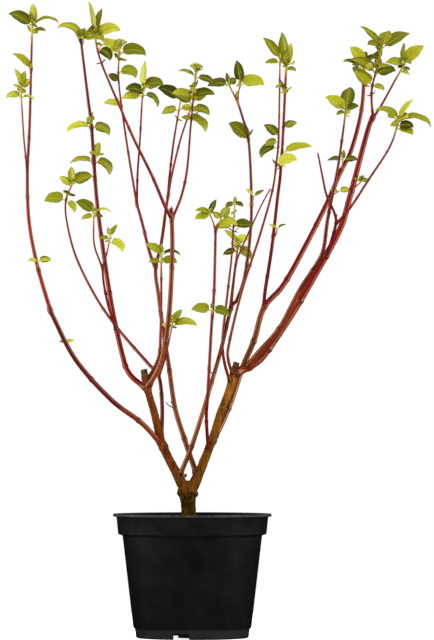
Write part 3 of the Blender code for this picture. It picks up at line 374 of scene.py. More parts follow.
# tones of a shoot's young end: (reach past its last leaves, tone), the first within them
YOUNG_TONES = ((-14, "green"), (0, "lime"), (4, "amber"), (9, "orange"), (15, "rust"))
BARE_TIPS = ("left_bough",)  # limbs whose bark stays red to the end
YOUNG_LEAVES = 18.0  # leaves this far below a tip are part of its young end
FOOT_DARK = 3.0  # how far past its parent's surface a limb is dark
LONG_LIMB = 60.0  # limbs up to this long have no dark foot
LIMB_SCALE = 1.28  # thickness of the limbs over that of the solids
# and of these again, at the foot and at the tip
LIMB_STOUT = {
    "outer_right_bough": (1.14, 1.24), "upper_right_bough": (1.1, 1.14), "right_bough": (1.0, 1.5),
    "left_bough": (1.0, 1.36), "rear_right_bough": (1.0, 1.25),
}

# dry leftovers: (limb, height, points from there on, widths)
DRY = (
    ("trunk", 214, ((1, -3, 5), (2, -4, 9)), (6, 3.6)),
    ("left_stem", 226, ((7, -4, 3), (10, -5, 6)), (5, 4)),
    ("rear_middle_bough", 322, ((-5, -3, 5), (-9, -5, 7), (-14, -6, 12)), (2.4, 1.2)),
    ("rear_middle_bough", 326, ((-4, -3, 5), (-6, -5, 10)), (2.0, 0.9)),
    ("tall_bough", 371, ((-3, -4, 5), (-7, -6, 10)), (2.2, 1.0)),
    ("tall_bough", 374, ((4, -4, 5), (4, -5, 11)), (1.8, 0.9)),
    ("left_bough", 846, ((-4, -2, 9), (-6, -3, 15)), (1.8, 0.8)),
    ("left_bough", 844, ((3, -2, 10), (4, -2, 16)), (1.8, 0.8)),
    ("middle_bough", 600, ((0, -1, 5), (0, -2, 9)), (3.4, 2.0)),
    ("front_bough", 571, ((2, -1, 8), (3, -1, 12)), (2.6, 1.8)),
    ("side_bough", 586, ((1, 2, 9), (2, 3, 14)), (2.6, 1.8)),
    ("outer_right_bough", 742, ((-2, 2, 8), (-2, 3, 13)), (3.0, 2.0)),
    ("rear_right_bough", 822, ((3, 0, 9), (4, 1, 15)), (1.6, 0.7)),
)
FINE_STEP = 1.6  # spacing of the sections of dry wood and of the finest twigs
DRY_ROUGH = 0.16

# Finer growth
TINY_PAIRS = (("low_left_bough", 418, 10, 14.0),)  # on bare wood: (limb, height, bearing, length)
TINY_MASS = "outer_left_leaves"  # the mass whose darkness they share, which is partly age and partly painted shade
SIDE_TWIG_SKIPPED = 0.72  # share of the longer leaves with no twig beside them
LONG_LEAF = 26.0
SIDE_TWIG = (1.5, 1.0)  # widths
SIDE_TWIG_TURN = (-25, 25)
SIDE_TWIG_REACH = (7, 13)
# least and most of the turn, length or share of it, rise, droop and roll of young pairs: at the
# tips, where they all droop by TIP_DROOP, and on side twigs
TIP_TURN, TIP_LENGTH, TIP_RISE, TIP_ROLL = (-20, 20), (8, 11), (64, 82), (-40, 40)
TIP_DROOP = 10
YOUNG_TURN, YOUNG_LENGTH, YOUNG_ROLL = (-30, 30), (0.45, 0.62), (-55, 55)
YOUNG_PITCH = ((10, 46), (20, 50))  # rise and droop
# flat heads of flower buds: (limb that carries one, spread, height)
HEADS = (("centre_left_twig", 9.5, 15.0), ("front_middle_bough", 8.5, 13.0))
HEAD_BUDS = 44
HEAD_TURN = 2.39996  # the golden angle, so that the buds spread evenly
HEAD_TONES = ("fresh", "vein", "grass")
HEAD_STALK = (0.5, 0.42, 0.34, 0.26)
HEAD_BUD = ((0, 0.3), (0.8, 0.8), (2, 0.72), (3.1, 0.12))  # (distance from its foot, radius)

# how dark the leaves of each mass are, in steps of GREENS, partly for their age and partly as painted shade,
# and their size over that of the solids
SPRAYS = {
    "outer_left_leaves": (1.0, 0.97), "outer_left_bud_leaves": (0.6, 1.05), "far_left_leaves": (-0.2, 0.92),
    "left_leaves": (0.2, 1.18), "low_left_leaves": (0.9, 1.05), "rear_left_leaves": (0.6, 1.1),
    "low_middle_leaves": (0.5, 1.0), "centre_left_leaves": (1.2, 1.05), "front_left_leaves": (1.6, 1.08),
    "front_middle_leaves": (1.9, 1.06), "rear_middle_leaves": (1.5, 1.13), "centre_leaves": (1.6, 1.08),
    "tall_leaves": (2.0, 1.25), "tall_bud_leaves": (0.7, 1.08), "centre_right_leaves": (1.7, 0.9),
    "front_leaves": (0.8, 0.92), "front_low_leaves": (2.8, 0.97), "middle_leaves": (1.2, 1.0),
    "tall_front_leaves": (2.1, 1.12), "right_leaves": (1.8, 1.05), "rear_right_leaves": (1.3, 1.1),
    "rear_bud_leaves": (1.7, 1.0), "right_bud_leaves": (0.2, 1.0), "right_side_leaves": (2.3, 0.95),
    "outer_right_leaves": (1.7, 1.0), "outer_bud_leaves": (0.5, 1.05), "upper_right_leaves": (1.3, 0.95),
    "far_right_leaves": (0.7, 0.98),
}
AGE_SPREAD = 1.2
SHORT_LEAF = (30.0, 0.7)  # leaves shorter than this look that much older
YOUNG_AGE = 1.2  # and young ones this much younger
SIDE_EDGE = 0.09  # the middle of the crown, in metres either way, is a piece of its own

# Blades
BLADE_START = 0.13  # share of a leaf's length that is its stalk
BLADE_WIDE = (1.56, 1.26)  # width of a blade over that of its solid, of short leaves and of long ones
BLADE_SIZES = (28.0, 46.0)  # what counts as short and as long
BLADE_YOUNG = 0.1  # how much wider than the solids the young ones are
BLADE_SPREAD = (0.94, 1.1)  # chance in that width
BLADE_THICK = 0.32
BLADE_PIECES = 40
SMALL_LEAF = 21.0  # leaves shorter than this have fewer faces
VEINS = (0.0, 0.1, 0.21, 0.33, 0.46, 0.61)  # where the side veins leave the rib
VEINS_END = 0.8
VEIN_STRIP = 0.008
VEIN_ROWS = 4  # rows of faces between two veins, and past the last
VEIN_SWEEP = (0.1, 0.3)  # how far forward a vein has run where it meets the margin, at the foot and on
VEIN_BEND = 1.35
VEIN_DEPTH = 0.008  # of the blade's width
RIB = 0.04  # half width of the rib's strip, as a share of the half width
ACROSS = (-1, -0.93, -0.74, -0.5, -0.26, -RIB, RIB, 0.26, 0.5, 0.74, 0.93, 1)
SMALL_ROWS = [(n / 12, False) for n in range(13)]
SMALL_ACROSS = (-1, -0.6, -0.12, 0.12, 0.6, 1)
MARGIN, OUTER = 0.9, 0.6  # shares of the half width that side veins reach, and where a second tone starts
# (share of the blade, share of its half width) along the margin
OUTLINE = np.array((
    (0, 0.1), (0.03, 0.42), (0.07, 0.64), (0.12, 0.8), (0.2, 0.93), (0.3, 1), (0.42, 1), (0.54, 0.94),
    (0.66, 0.8), (0.77, 0.6), (0.86, 0.38), (0.93, 0.19), (0.97, 0.08), (1, 0.012),
))
FOLD = (8.0, 28.0)  # least and most that each half of a blade rises from the rib, degrees
FOLD_YOUNG = 1.5  # how much more the young ones fold
FOLD_EASE = 0.35  # share of the fold that is lost by the tip
BLADE_BOW = 0.1  # how much the halves bow down again, as a share of the half width
TIP_CURL = 20.0
CURL_START, CURL_EASE = 0.55, 0.2
WAVE = (0.018, 15.0, 1.7)  # margin's waves: height over width, turns along it, shift between the halves
BRONZE = 0.2  # share of the blades with a bronze margin
TWO_TONE = 0.45  # share of them that are darker towards the margin
STALK = (0.55, 0.008, 0.72)  # radius, what it gains with length, and the share that it loses by its end
STALK_REACH = 0.85  # how far along the leaf it runs as its rib
STALK_SINK = 0.25  # and how deep under it

# Trunk and stems
STEM_RINGS = {"left_stem": (271, 352, 368), "right_stem": (280, 366, 376)}  # heights of old rings
RING_SWELL = (0.24, 4.0)  # how much stouter a stem is at a ring, and over what length
FORK_SWELL = (0.14, 221, 12)  # how much stouter it is at the fork, the fork's height, and its reach
# lumps of the trunk: (place, radius)
LUMPS = (
    ((3.5, -2, 204), 5.2), ((-18, -2, 205), 4.2), ((-14, -4, 199), 4.0), ((-1, -7, 188), 3.6),
    ((-11, 6, 190), 4.0), ((1, 6, 198), 4.4), ((-5, -8, 211), 4.0), ((3, -5, 168), 4.2),
    ((-13, 2, 171), 4.0),
)
LUMP_SHAPE = ((-1, 0.1), (-0.8, 0.6), (-0.4, 0.92), (0, 1), (0.4, 0.92), (0.8, 0.6), (1, 0.1))
SKIN_STEP = 0.8  # size of the cells of the bark's skin
TRUNK_STEP, STEM_STEP = 2.0, 1.5
TRUNK_SKIN, STEM_SKIN = (24, 0.12, 3.1), (20, 0.08, 9.0)  # sides, roughness and its seed
LUMP_SIDES = 16
RELIEF = ((0.055, 0.7), (0.16, 0.42), (0.45, 0.24))  # (waves per millimetre, height)
RELIEF_STRETCH = 0.45  # waves along the stems over waves round them
STEM_RELIEF = 0.34  # relief of the stems over the trunk's
TRUNK_TOP = (232, 20)  # height where the stems' relief is reached, and what leads up to it
LEVEL = (0.8, 0.3)  # places that face up or down more than this have that share of the relief
CUT_DEPTH = 1.6  # depth of the pale cut at a stem's end
PITH_RADIUS = 1.3
PITH_COLOUR = (84, 54, 32)
STUB = 13.0  # length of the dry stub under it
TRUNK_BARK, FOOT_BARK, STEM_BARK = 204, 236, 330  # heights up to which each kind of bark reaches
BARK_STRAY = (7.0, 0.09)  # how far those edges stray, and their waves per millimetre

# Studio, in metres
CAMERA_SPOT = (0.035, -7.2, 0.316)
CAMERA_TARGET = (0.035, 0.0, 0.4509)
CAMERA_LENS = 285.2
# lamps: (name, place, height of what it lights, size, power, whether surfaces mirror it)
LAMPS = (
    ("key", (-0.9, -2.9, 1.7), 0.5, 1.0, 52, False),
    ("top", (0.1, -0.1, 2.6), 0.2, 2.4, 64, False),
    ("fill", (1.8, -2.2, 0.9), 0.5, 1.2, 14, False),
    ("side left", (-1.6, -0.4, 0.6), 0.5, 1.6, 40, True),
    ("side right", (1.6, -0.4, 0.6), 0.5, 1.6, 40, True),
    ("back left", (-1.7, 2.1, 1.6), 0.5, 1.5, 22, False),
    ("back right", (1.7, 2.1, 1.6), 0.5, 1.5, 22, False),
)
WORLD_LIGHT = 0.16  # how bright the surround is to the plant; the camera sees it as white
FLOOR_GLOW = 0.85
FLOOR_DROP = 0.0004

# Looks
# angles, in degrees, past which an edge is sharp
LEAF_CREASE, BARK_CREASE, POT_CREASE, COMPOST_CREASE = 60, 80, 32, 30
SUNLIT = 0.62  # the studio lights a surface this much brighter than its own colour
SHINE = 0.16
EVEN = (1, 1, 1)
STREAKS = (1, 1, 0.14)
WARM = (1, 0.6, 0.3)
MOTTLE = (0.36, 0.64)  # values of the noise that show the dark colour and the light one

# name: (dark, light) of the shoots' bark
TONES = {
    "umber": ((80, 20, 10), (106, 32, 14)),
    "russet": ((104, 38, 10), (132, 56, 16)),
    "brick": ((102, 24, 8), (130, 36, 14)),
    "dark red": ((78, 5, 6), (100, 10, 10)),
    "crimson": ((104, 6, 8), (130, 11, 11)),
    "red": ((116, 11, 8), (140, 20, 12)),
    "rust": ((140, 44, 14), (168, 62, 20)),
    "orange": ((160, 78, 14), (184, 100, 24)),
    "amber": ((164, 118, 18), (188, 140, 32)),
    "lime": ((166, 158, 24), (186, 176, 42)),
    "green": ((146, 148, 20), (166, 166, 38)),
    "scar": ((82, 18, 12), (112, 36, 20)),
    "dry": ((52, 38, 22), (104, 78, 46)),
    "cut": ((140, 118, 84), (194, 178, 142)),
    "bud": ((60, 12, 10), (88, 22, 14)),
}

# name: screen colour of each kind of blade face
BLADE_TONES = {
    "bright": (204, 204, 52),
    "fresh": (174, 175, 25),
    "grass": (144, 146, 12),
    "mid": (112, 115, 6),
    "deep": (88, 91, 4),
    "dark": (66, 69, 3),
    "vein": (208, 208, 86),
    "back": (158, 158, 42),
    "dark back": (108, 111, 18),
    "bronze": (126, 86, 12),
    "stalk": (192, 184, 40),
}
GREENS = ("bright", "fresh", "grass", "mid", "deep", "dark")
PALE_BACKS = GREENS[:3]  # greens whose back is the pale one
SIDE_VEIN = 0.35  # how far a side vein's colour goes towards the next lighter green
for lighter, green in zip(("vein", *GREENS), GREENS):
    BLADE_TONES[green + " vein"] = tuple(
        a + (b - a) * SIDE_VEIN for a, b in zip(BLADE_TONES[green], BLADE_TONES[lighter]))

# (name, dark, light, grain, roughness, relief, stretch, shine, hue of the gloss)
BARK_LOOKS = (
    ("old bark", (30, 22, 4), (86, 60, 12), 3.2, 0.8, 0.35, (1, 1, 0.5), 0.04, WARM),
    ("left foot", (64, 36, 10), (112, 64, 18), 4, 0.6, 0.15, STREAKS, 0.05, WARM),
    ("left stem", (74, 33, 6), (122, 58, 11), 4, 0.5, 0.12, STREAKS, 0.1, WARM),
    ("left top", (86, 34, 8), (134, 59, 15), 4, 0.5, 0.12, STREAKS, 0.1, WARM),
    ("right foot", (68, 40, 8), (118, 72, 18), 4, 0.6, 0.15, STREAKS, 0.05, WARM),
    ("right stem", (78, 48, 5), (130, 77, 12), 4, 0.5, 0.12, STREAKS, 0.1, WARM),
    ("right top", (104, 66, 8), (162, 96, 19), 4, 0.5, 0.12, STREAKS, 0.1, WARM),
    ("stem ring", (88, 50, 18), (134, 82, 34), 3.0, 0.6, 0.15, EVEN, 0.05),
    ("stub bark", (56, 46, 22), (104, 86, 46), 3.0, 0.7, 0.25, (1, 1, 0.4), 0.05),
    ("cut wood", (140, 114, 76), (198, 178, 136), 1.6, 0.75, 0.1),
)
POT_LOOKS = (
    ("pot plastic", (12, 12, 12), (18, 18, 17), 26, 0.5, 0.03, EVEN, 0.03),
    ("pot collar", (16, 16, 15), (23, 23, 22), 26, 0.5, 0.03, EVEN, 0.02),
    ("pot foot", (27, 27, 23), (36, 36, 31), 26, 0.5, 0.03, EVEN, 0.02),
    ("pot rim", (44, 42, 37), (64, 61, 54), 9, 0.5, 0.05, EVEN, 0.05),
)
COMPOST_LOOKS = (
    ("compost", (30, 22, 16), (72, 54, 38), 3.0, 0.95, 0.6),
    ("bark chips", (58, 40, 26), (112, 82, 54), 3.0, 0.9, 0.4),
    ("pale chips", (104, 84, 60), (150, 128, 96), 3.0, 0.9, 0.3),
)


def tint(red, green, blue):
    """The surface colour that shows as this screen colour under the studio's light."""
    screen = [v / 255 for v in (red, green, blue)]
    linear = [v / 12.92 if v <= 0.04045 else ((v + 0.055) / 1.055) ** 2.4 for v in screen]
    return tuple(v * SUNLIT for v in linear)


def set_inputs(node, **values):
    """Set a node's inputs by their names, with spaces as underscores."""
    for name, value in values.items():
        node.inputs[name.replace("_", " ")].default_value = value


def add_node(tree, kind, **values):
    made = tree.nodes.new("ShaderNode" + kind)
    set_inputs(made, **values)
    return made


def link(start, output, end, entry):
    end.id_data.links.new(start.outputs[output], end.inputs[entry])


def shader_of(name, colour, roughness, shine=SHINE, gleam=EVEN):
    made = bpy.data.materials.new(name)
    made.use_nodes = True
    shader = made.node_tree.nodes["Principled BSDF"]
    set_inputs(shader, Base_Color=(*colour, 1), Roughness=roughness)
    set_inputs(shader, Specular_IOR_Level=shine, Specular_Tint=(*gleam, 1))
    return made, shader


def mottled(name, dark, light, grain, roughness, relief, stretch=EVEN, shine=SHINE, gleam=EVEN):
    """Noise between two screen colours, with a little relief; grain is its size in millimetres."""
    made, shader = shader_of(name, tint(*light), roughness, shine, gleam)
    tree = made.node_tree
    spot = add_node(tree, "TexCoord")
    scale = add_node(tree, "Mapping", Scale=stretch)
    cloud = add_node(tree, "TexNoise", Scale=1000 / grain, Detail=4)
    ramp = add_node(tree, "ValToRGB")
    for stop, value, colour in zip(ramp.color_ramp.elements, MOTTLE, (dark, light)):
        stop.position = value
        stop.color = (*tint(*colour), 1)
    bump = add_node(tree, "Bump", Strength=relief, Distance=grain * MM * 0.3)
    link(spot, "Object", scale, "Vector")
    link(scale, "Vector", cloud, "Vector")
    link(cloud, "Fac", ramp, "Fac")
    link(ramp, "Color", shader, "Base Color")
    link(cloud, "Fac", bump, "Height")
    link(bump, "Normal", shader, "Normal")
    return made


def mottled_looks(rows):
    return {row[0]: mottled(*row) for row in rows}


def gleam_of(colour):
    """The hue of the bark's gloss: its own, much of the way to white."""
    return tuple((v / max(colour)) ** power for v, power in zip(colour, (1, 0.3, 0.5)))


def shoot_looks():
    return {name: mottled(f"bark {name}", dark, light, grain=30, roughness=0.34, relief=0.0,
                          stretch=(1, 1, 0.3), shine=0.8, gleam=gleam_of(light))
            for name, (dark, light) in TONES.items()}


def blade_looks():
    gloss = {"shine": 0.6, "gleam": (1, 1, 0.6)}
    return {name: shader_of(f"blade {name}", tint(*colour), roughness=0.36, **gloss)[0]
            for name, colour in BLADE_TONES.items()}


# Meshes


def dress(mesh, looks, tones):
    """Give each face the look of its tone."""
    mesh.materials.clear()
    for look in looks.values():
        mesh.materials.append(look)
    order = {tone: n for n, tone in enumerate(looks)}
    mesh.polygons.foreach_set("material_index", np.array([order[tone] for tone in tones], np.int32))


def place(name, mesh, nodes, crease=50):
    """Show a mesh as a piece that stands for some nodes."""
    mesh.validate()
    mesh.shade_smooth()
    mesh.set_sharp_from_angle(angle=math.radians(crease))
    made = bpy.data.objects.new(name, mesh)
    bpy.context.scene.collection.objects.link(made)
    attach(made, "root")
    if nodes:
        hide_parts(*nodes)
    return made


class Gather:
    """Meshes joined into one piece, each face with its tone."""

    def __init__(self, looks):
        self.looks = looks
        self.verts = []
        self.faces = []
        self.tones = []
        self.count = 0

    def add(self, verts, faces, tones):
        """Add a mesh; tones has one for each face, or is the one that they all have."""
        self.verts.append(np.asarray(verts, float))
        self.faces += [tuple(n + self.count for n in face) for face in faces]
        self.tones += [tones] * len(faces) if isinstance(tones, str) else tones
        self.count += len(verts)

    def add_tube(self, tone, points, radii, sides, rough=0.0, seed=0.0):
        verts, faces, _ = tube(points, radii, sides, rough, seed)
        self.add(verts, faces, tone)

    def mesh(self, name):
        made = bpy.data.meshes.new(name)
        made.from_pydata((np.concatenate(self.verts) * MM).tolist(), [], self.faces)
        dress(made, self.looks, self.tones)
        return made

    def make(self, name, slot, nodes, crease=50):
        return place(name, self.mesh(name), nodes, crease)


def apply_modifiers(obj):
    evaluated = obj.evaluated_get(bpy.context.evaluated_depsgraph_get())
    mesh = bpy.data.meshes.new_from_object(evaluated)
    obj.modifiers.clear()
    obj.data = mesh


def carried_sides(points):
    """Two directions across a line, carried along it without twist."""
    along = np.gradient(points, axis=0)
    along /= np.linalg.norm(along, axis=1)[:, None]
    first = np.cross(along[0], (0, 1, 0) if abs(along[0][1]) < 0.9 else (1, 0, 0))
    across = [first / np.linalg.norm(first)]
    for way in along[1:]:
        side = across[-1] - way * np.dot(across[-1], way)
        across.append(side / np.linalg.norm(side))
    across = np.array(across)
    return across, np.cross(along, across)


def tube(points, radii, sides, rough=0.0, seed=0.0):
    """(verts, faces, ring of each face) of a closed tube; radii are one for each point."""
    points = np.asarray(points, float)
    radii = np.asarray(radii, float)
    across, level = carried_sides(points)
    turns = np.linspace(0, 2 * math.pi, sides, endpoint=False)
    out = across[:, None] * np.cos(turns)[None, :, None] + level[:, None] * np.sin(turns)[None, :, None]
    reach = np.repeat(radii[:, None], sides, axis=1)
    if rough:
        for n, point in enumerate(points):
            for m in range(sides):
                spot = Vector(point + out[n, m] * radii[n]) * ROUGH_WAVES + Vector((seed, 0, 0))
                reach[n, m] *= 1 + rough * noise.noise(spot)
    verts = (points[:, None] + out * reach[:, :, None]).reshape(-1, 3)
    verts = np.concatenate([verts, points[:1], points[-1:]])
    faces, rings = [], []
    for n in range(len(points) - 1):
        for m in range(sides):
            after = (m + 1) % sides
            faces.append((n * sides + m, n * sides + after, (n + 1) * sides + after, (n + 1) * sides + m))
            rings.append(n)
    last = (len(points) - 1) * sides
    for m in range(sides):
        after = (m + 1) % sides
        faces.append((len(verts) - 2, after, m))
        faces.append((len(verts) - 1, last + m, last + after))
        rings += [-1, len(points)]
    return verts, faces, rings


# Centre lines, by the source's rule


def smooth_line(points, widths, step):
    """(point, radius) samples on a smooth curve through the points, tapering evenly."""
    ends = [points[0] * 2 - points[1], *points, points[-1] * 2 - points[-2]]
    line = [points[0]]
    for a, b, c, d in zip(ends, ends[1:], ends[2:], ends[3:]):
        pieces = max(1, round((c - b).length / step))
        for n in range(1, pieces + 1):
            t = n / pieces
            bend = (2 * a - 5 * b + 4 * c - d) * t**2 + (3 * b - a - 3 * c + d) * t**3
            line.append((2 * b + (c - a) * t + bend) / 2)
    run = run_of(line)
    foot, tip = widths
    return [(p, (foot + (tip - foot) * s / run[-1]) / 2) for p, s in zip(line, run)]


def run_of(points):
    """Distances of a line's points from its foot."""
    run = [0.0]
    for a, b in zip(points, points[1:]):
        run.append(run[-1] + (b - a).length)
    return run


def at_height(line, height):
    """Where the line first rises to a height, as (index after, point, radius)."""
    for n, ((a, ra), (b, rb)) in enumerate(zip(line, line[1:])):
        if a.z <= height < b.z:
            t = (height - a.z) / (b.z - a.z)
            return n + 1, a.lerp(b, t), ra + (rb - ra) * t
    return len(line) - 1, line[-1][0].copy(), line[-1][1]


def below_tip(line, distance):
    """The point on the line at a distance back from its tip."""
    for (b, _), (a, _) in zip(reversed(line), list(reversed(line))[1:]):
        length = (b - a).length
        if distance <= length:
            return b.lerp(a, distance / length)
        distance -= length
    return line[0][0].copy()


def centre_lines():
    """The solids' lines, and the same curves in fine steps."""
    trunk = [(Vector((x, 0, z)), width / 2) for x, z, width in TRUNK]
    lines, fine = {"trunk": trunk}, {"trunk": trunk}
    for shoot in SHOOTS:
        start = at_height(lines[shoot.parent], shoot.height)[1]
        whole = shoot.mass and not shoot.leafy
        points = [start, *(Vector(p) for p in shoot.route)]
        lines[shoot.name] = smooth_line(points, shoot.width, TWIG_STEP if whole else LIMB_STEP)
        fine[shoot.name] = smooth_line(points, shoot.width, RING_STEP)
    return lines, fine


def split_lines(lines):
    """The part of each line that is a bough, and the part that is a mass's stem."""
    boughs = {"trunk": lines["trunk"]}
    stems = {}
    for shoot in SHOOTS:
        line = lines[shoot.name]
        if not shoot.mass:
            boughs[shoot.name] = line
        elif not shoot.leafy:
            stems[shoot.name] = line
        else:
            after, point, radius = at_height(line, shoot.leafy)
            onward = (line[after][0] - line[after - 1][0]).normalized()
            boughs[shoot.name] = [*line[:after], (point - onward * GAP, radius)]
            stems[shoot.name] = [(point, radius), *line[after:]]
    return boughs, stems


# Leaves, placed by the source's rule


@dataclass
class Leaf:
    """One leaf as it stands: its root, its turns in degrees, and its length."""

    mass: str
    root: Vector
    bearing: float
    length: float
    rise: float
    droop: float
    roll: float
    young: bool = False

    def frame(self, pieces=LEAF_PIECES, curl=0.0):
        """(share, point, side, up) along the arching leaf, from its root to its tip."""
        turn = math.radians(self.bearing)
        tilt = math.radians(self.roll)
        heading = Vector((math.cos(turn), math.sin(turn), 0))
        level = Vector((-math.sin(turn), math.cos(turn), 0))
        made = []
        point = self.root.copy()
        for n in range(pieces + 1):
            share = n / pieces
            curled = curl * max(0.0, share - CURL_START) ** 2 / CURL_EASE
            pitch = math.radians(self.rise - self.droop * share - curled)
            ahead = heading * math.cos(pitch) + Vector((0, 0, math.sin(pitch)))
            above = ahead.cross(level)
            side = level * math.cos(tilt) + above * math.sin(tilt)
            made.append((share, point.copy(), side, ahead.cross(side)))
            point += ahead * self.length / pieces
        return made

    def outline(self, width):
        """Points over the solid's blade."""
        return np.array([tuple(point + side * width / 2 * share)
                         for _, point, side, _ in self.frame()[LEAF_STALK:] for share in LEAF_ACROSS])


def distance_to_line(points, line):
    """Least clearance between an array of points and a tapering limb."""
    least = math.inf
    for (a, ra), (b, rb) in zip(line, line[1:]):
        start = np.array(a)
        along = np.array(b) - start
        share = np.clip((points - start) @ along / (along @ along), 0, 1)
        near = start + share[:, None] * along
        least = min(least, (np.linalg.norm(points - near, axis=1) - max(ra, rb)).min())
    return least


def is_clear(points, mass, boughs, stems, placed):
    """Whether a leaf keeps clear of the limbs and of the other masses."""
    others = [stems[shoot.name] for shoot in SHOOTS if shoot.name in stems and shoot.mass != mass]
    if any(distance_to_line(points, line) < LEAF_CLEAR for line in (*boughs.values(), *others)):
        return False
    return all(np.linalg.norm(points[:, None] - there[None], axis=2).min() >= LEAF_CLEAR
               for owner, there in placed if owner != mass)


def grown_leaves(boughs, stems):
    """Every leaf of the solids, where the source puts it."""
    placed, leaves = [], []
    for shoot in SHOOTS:
        chance = random.Random(f"{SEED} {shoot.name}")
        for below, bearing, length, rise, droop, second, *given in shoot.pairs:
            root = below_tip(stems[shoot.name], below)
            for half, share in enumerate((1.0, second) if second else (1.0,)):
                turn = bearing + 180 * half + chance.uniform(-TURN_STRAY, TURN_STRAY)
                roll = given[0] if given else chance.uniform(*LEAF_ROLL)
                roll = math.copysign(roll, math.cos(math.radians(turn)))
                if not given and chance.random() < LEAF_BACK:
                    roll = -roll
                size = length * share * chance.uniform(*LENGTH_STRAY)
                up = rise + chance.uniform(-RISE_STRAY, RISE_STRAY)
                fall = droop + chance.uniform(0, DROOP_STRAY)
                width = size * LEAF_SLENDER * (YOUNG_SHARE if up > YOUNG_RISE else 1)
                for swing in LEAF_TURNS:
                    leaf = Leaf(shoot.mass, root, turn + swing, size, up, fall, roll)
                    points = leaf.outline(width)
                    if is_clear(points, shoot.mass, boughs, stems, placed):
                        placed.append((shoot.mass, points))
                        leaves.append(leaf)
                        break
    return leaves


# Blades


def blade_rows():
    """(share of the rib, whether the strip after it is a vein) of the rows of faces."""
    rows = []
    for start, end in zip(VEINS, (*VEINS[1:], VEINS_END)):
        rows.append((start, True))
        step = (end - start - VEIN_STRIP) / VEIN_ROWS
        rows += [(start + VEIN_STRIP + step * n, False) for n in range(VEIN_ROWS)]
    step = (1 - VEINS_END) / VEIN_ROWS
    rows += [(VEINS_END + step * n, False) for n in range(VEIN_ROWS)]
    rows.append((1.0, False))
    return rows


def blade_grid(rows, across):
    """The rows and columns of a closed two-sided blade, its faces, and (row, column, top or not) of each."""
    high, wide = len(rows), len(across)
    top = np.arange(high * wide).reshape(high, wide)
    under = top.copy()
    under[1:-1, 1:-1] = high * wide + np.arange((high - 2) * (wide - 2)).reshape(high - 2, wide - 2)
    faces, spots = [], []
    for i in range(high - 1):
        for j in range(wide - 1):
            faces.append((top[i, j], top[i + 1, j], top[i + 1, j + 1], top[i, j + 1]))
            faces.append((under[i, j], under[i, j + 1], under[i + 1, j + 1], under[i + 1, j]))
            spots += [(i, j, True), (i, j, False)]
    return rows, across, [tuple(int(n) for n in face) for face in faces], spots


FULL_GRID = blade_grid(blade_rows(), ACROSS)
SMALL_GRID = blade_grid(SMALL_ROWS, SMALL_ACROSS)


def quilt_at(start):
    """How far a blade swells between two side veins, 0 on them and 1 midway."""
    earlier = max((v for v in VEINS if v <= start), default=0)
    later = min((v for v in VEINS if v > start), default=1)
    return math.sin(math.pi * min(1, max(0, (start - earlier) / (later - earlier))))


def blade_verts(leaf, width, fold, phase, rows, across, quilt):
    """The two layers of a folded, waved and quilted blade."""
    shape = leaf.frame(BLADE_PIECES, TIP_CURL)
    shares = np.array([f[0] for f in shape])
    tracks = [np.array([tuple(f[n]) for f in shape]) for n in (1, 2, 3)]
    across = np.array(across)
    size = np.abs(across)
    high, waves, shift = WAVE
    top, ups = [], []
    for start, _ in rows:
        sweep = VEIN_SWEEP[0] + (VEIN_SWEEP[1] - VEIN_SWEEP[0]) * min(1, start / 0.25)
        on_rib = start + sweep * size**VEIN_BEND * (1 - start)
        half = np.interp(on_rib, OUTLINE[:, 0], OUTLINE[:, 1]) * width / 2
        at = BLADE_START + (1 - BLADE_START) * on_rib
        point, side, up = (np.stack([np.interp(at, shares, t[:, k]) for k in range(3)], 1) for t in tracks)
        rise = math.radians(fold) * (1 - FOLD_EASE * start)
        out = across * half * math.cos(rise)
        lift = size * half * math.sin(rise) - BLADE_BOW * size**2 * half
        lift = lift + high * width * size**2 * np.sin(on_rib * waves + phase + (across > 0) * shift)
        if quilt:
            lift = lift + VEIN_DEPTH * width * quilt_at(start) * np.clip(size * 3, 0, 1) * (1 - size**3)
        top.append(point + side * out[:, None] + up * lift[:, None])
        middle = BLADE_START + (1 - BLADE_START) * start
        ups.append([np.interp(middle, shares, tracks[2][:, k]) for k in range(3)])
    top, ups = np.array(top), np.array(ups)
    under = top[1:-1, 1:-1] - ups[1:-1, None, :] * BLADE_THICK
    return np.concatenate([top.reshape(-1, 3), under.reshape(-1, 3)])


def blade_tones(spots, rows, across, body, bronze, two_tone):
    """The tone of each face: rib and veins lighter, the back paler, margins sometimes bronze."""
    green = GREENS.index(body)
    outer = GREENS[min(5, green + 1)] if two_tone else body
    rib = GREENS[green - 1] if green else "vein"
    edge = "bronze" if bronze else outer
    tones = []
    middle = len(across) // 2 - 1
    for i, j, is_top in spots:
        reach = max(abs(across[j]), abs(across[j + 1]))
        if j == middle:
            tones.append(rib)
        elif not is_top:
            tones.append("back" if body in PALE_BACKS else "dark back")
        elif rows[i][1] and reach < MARGIN and i:
            tones.append(body + " vein")
        elif reach == 1:
            tones.append(edge)
        else:
            tones.append(outer if reach > OUTER else body)
    return tones


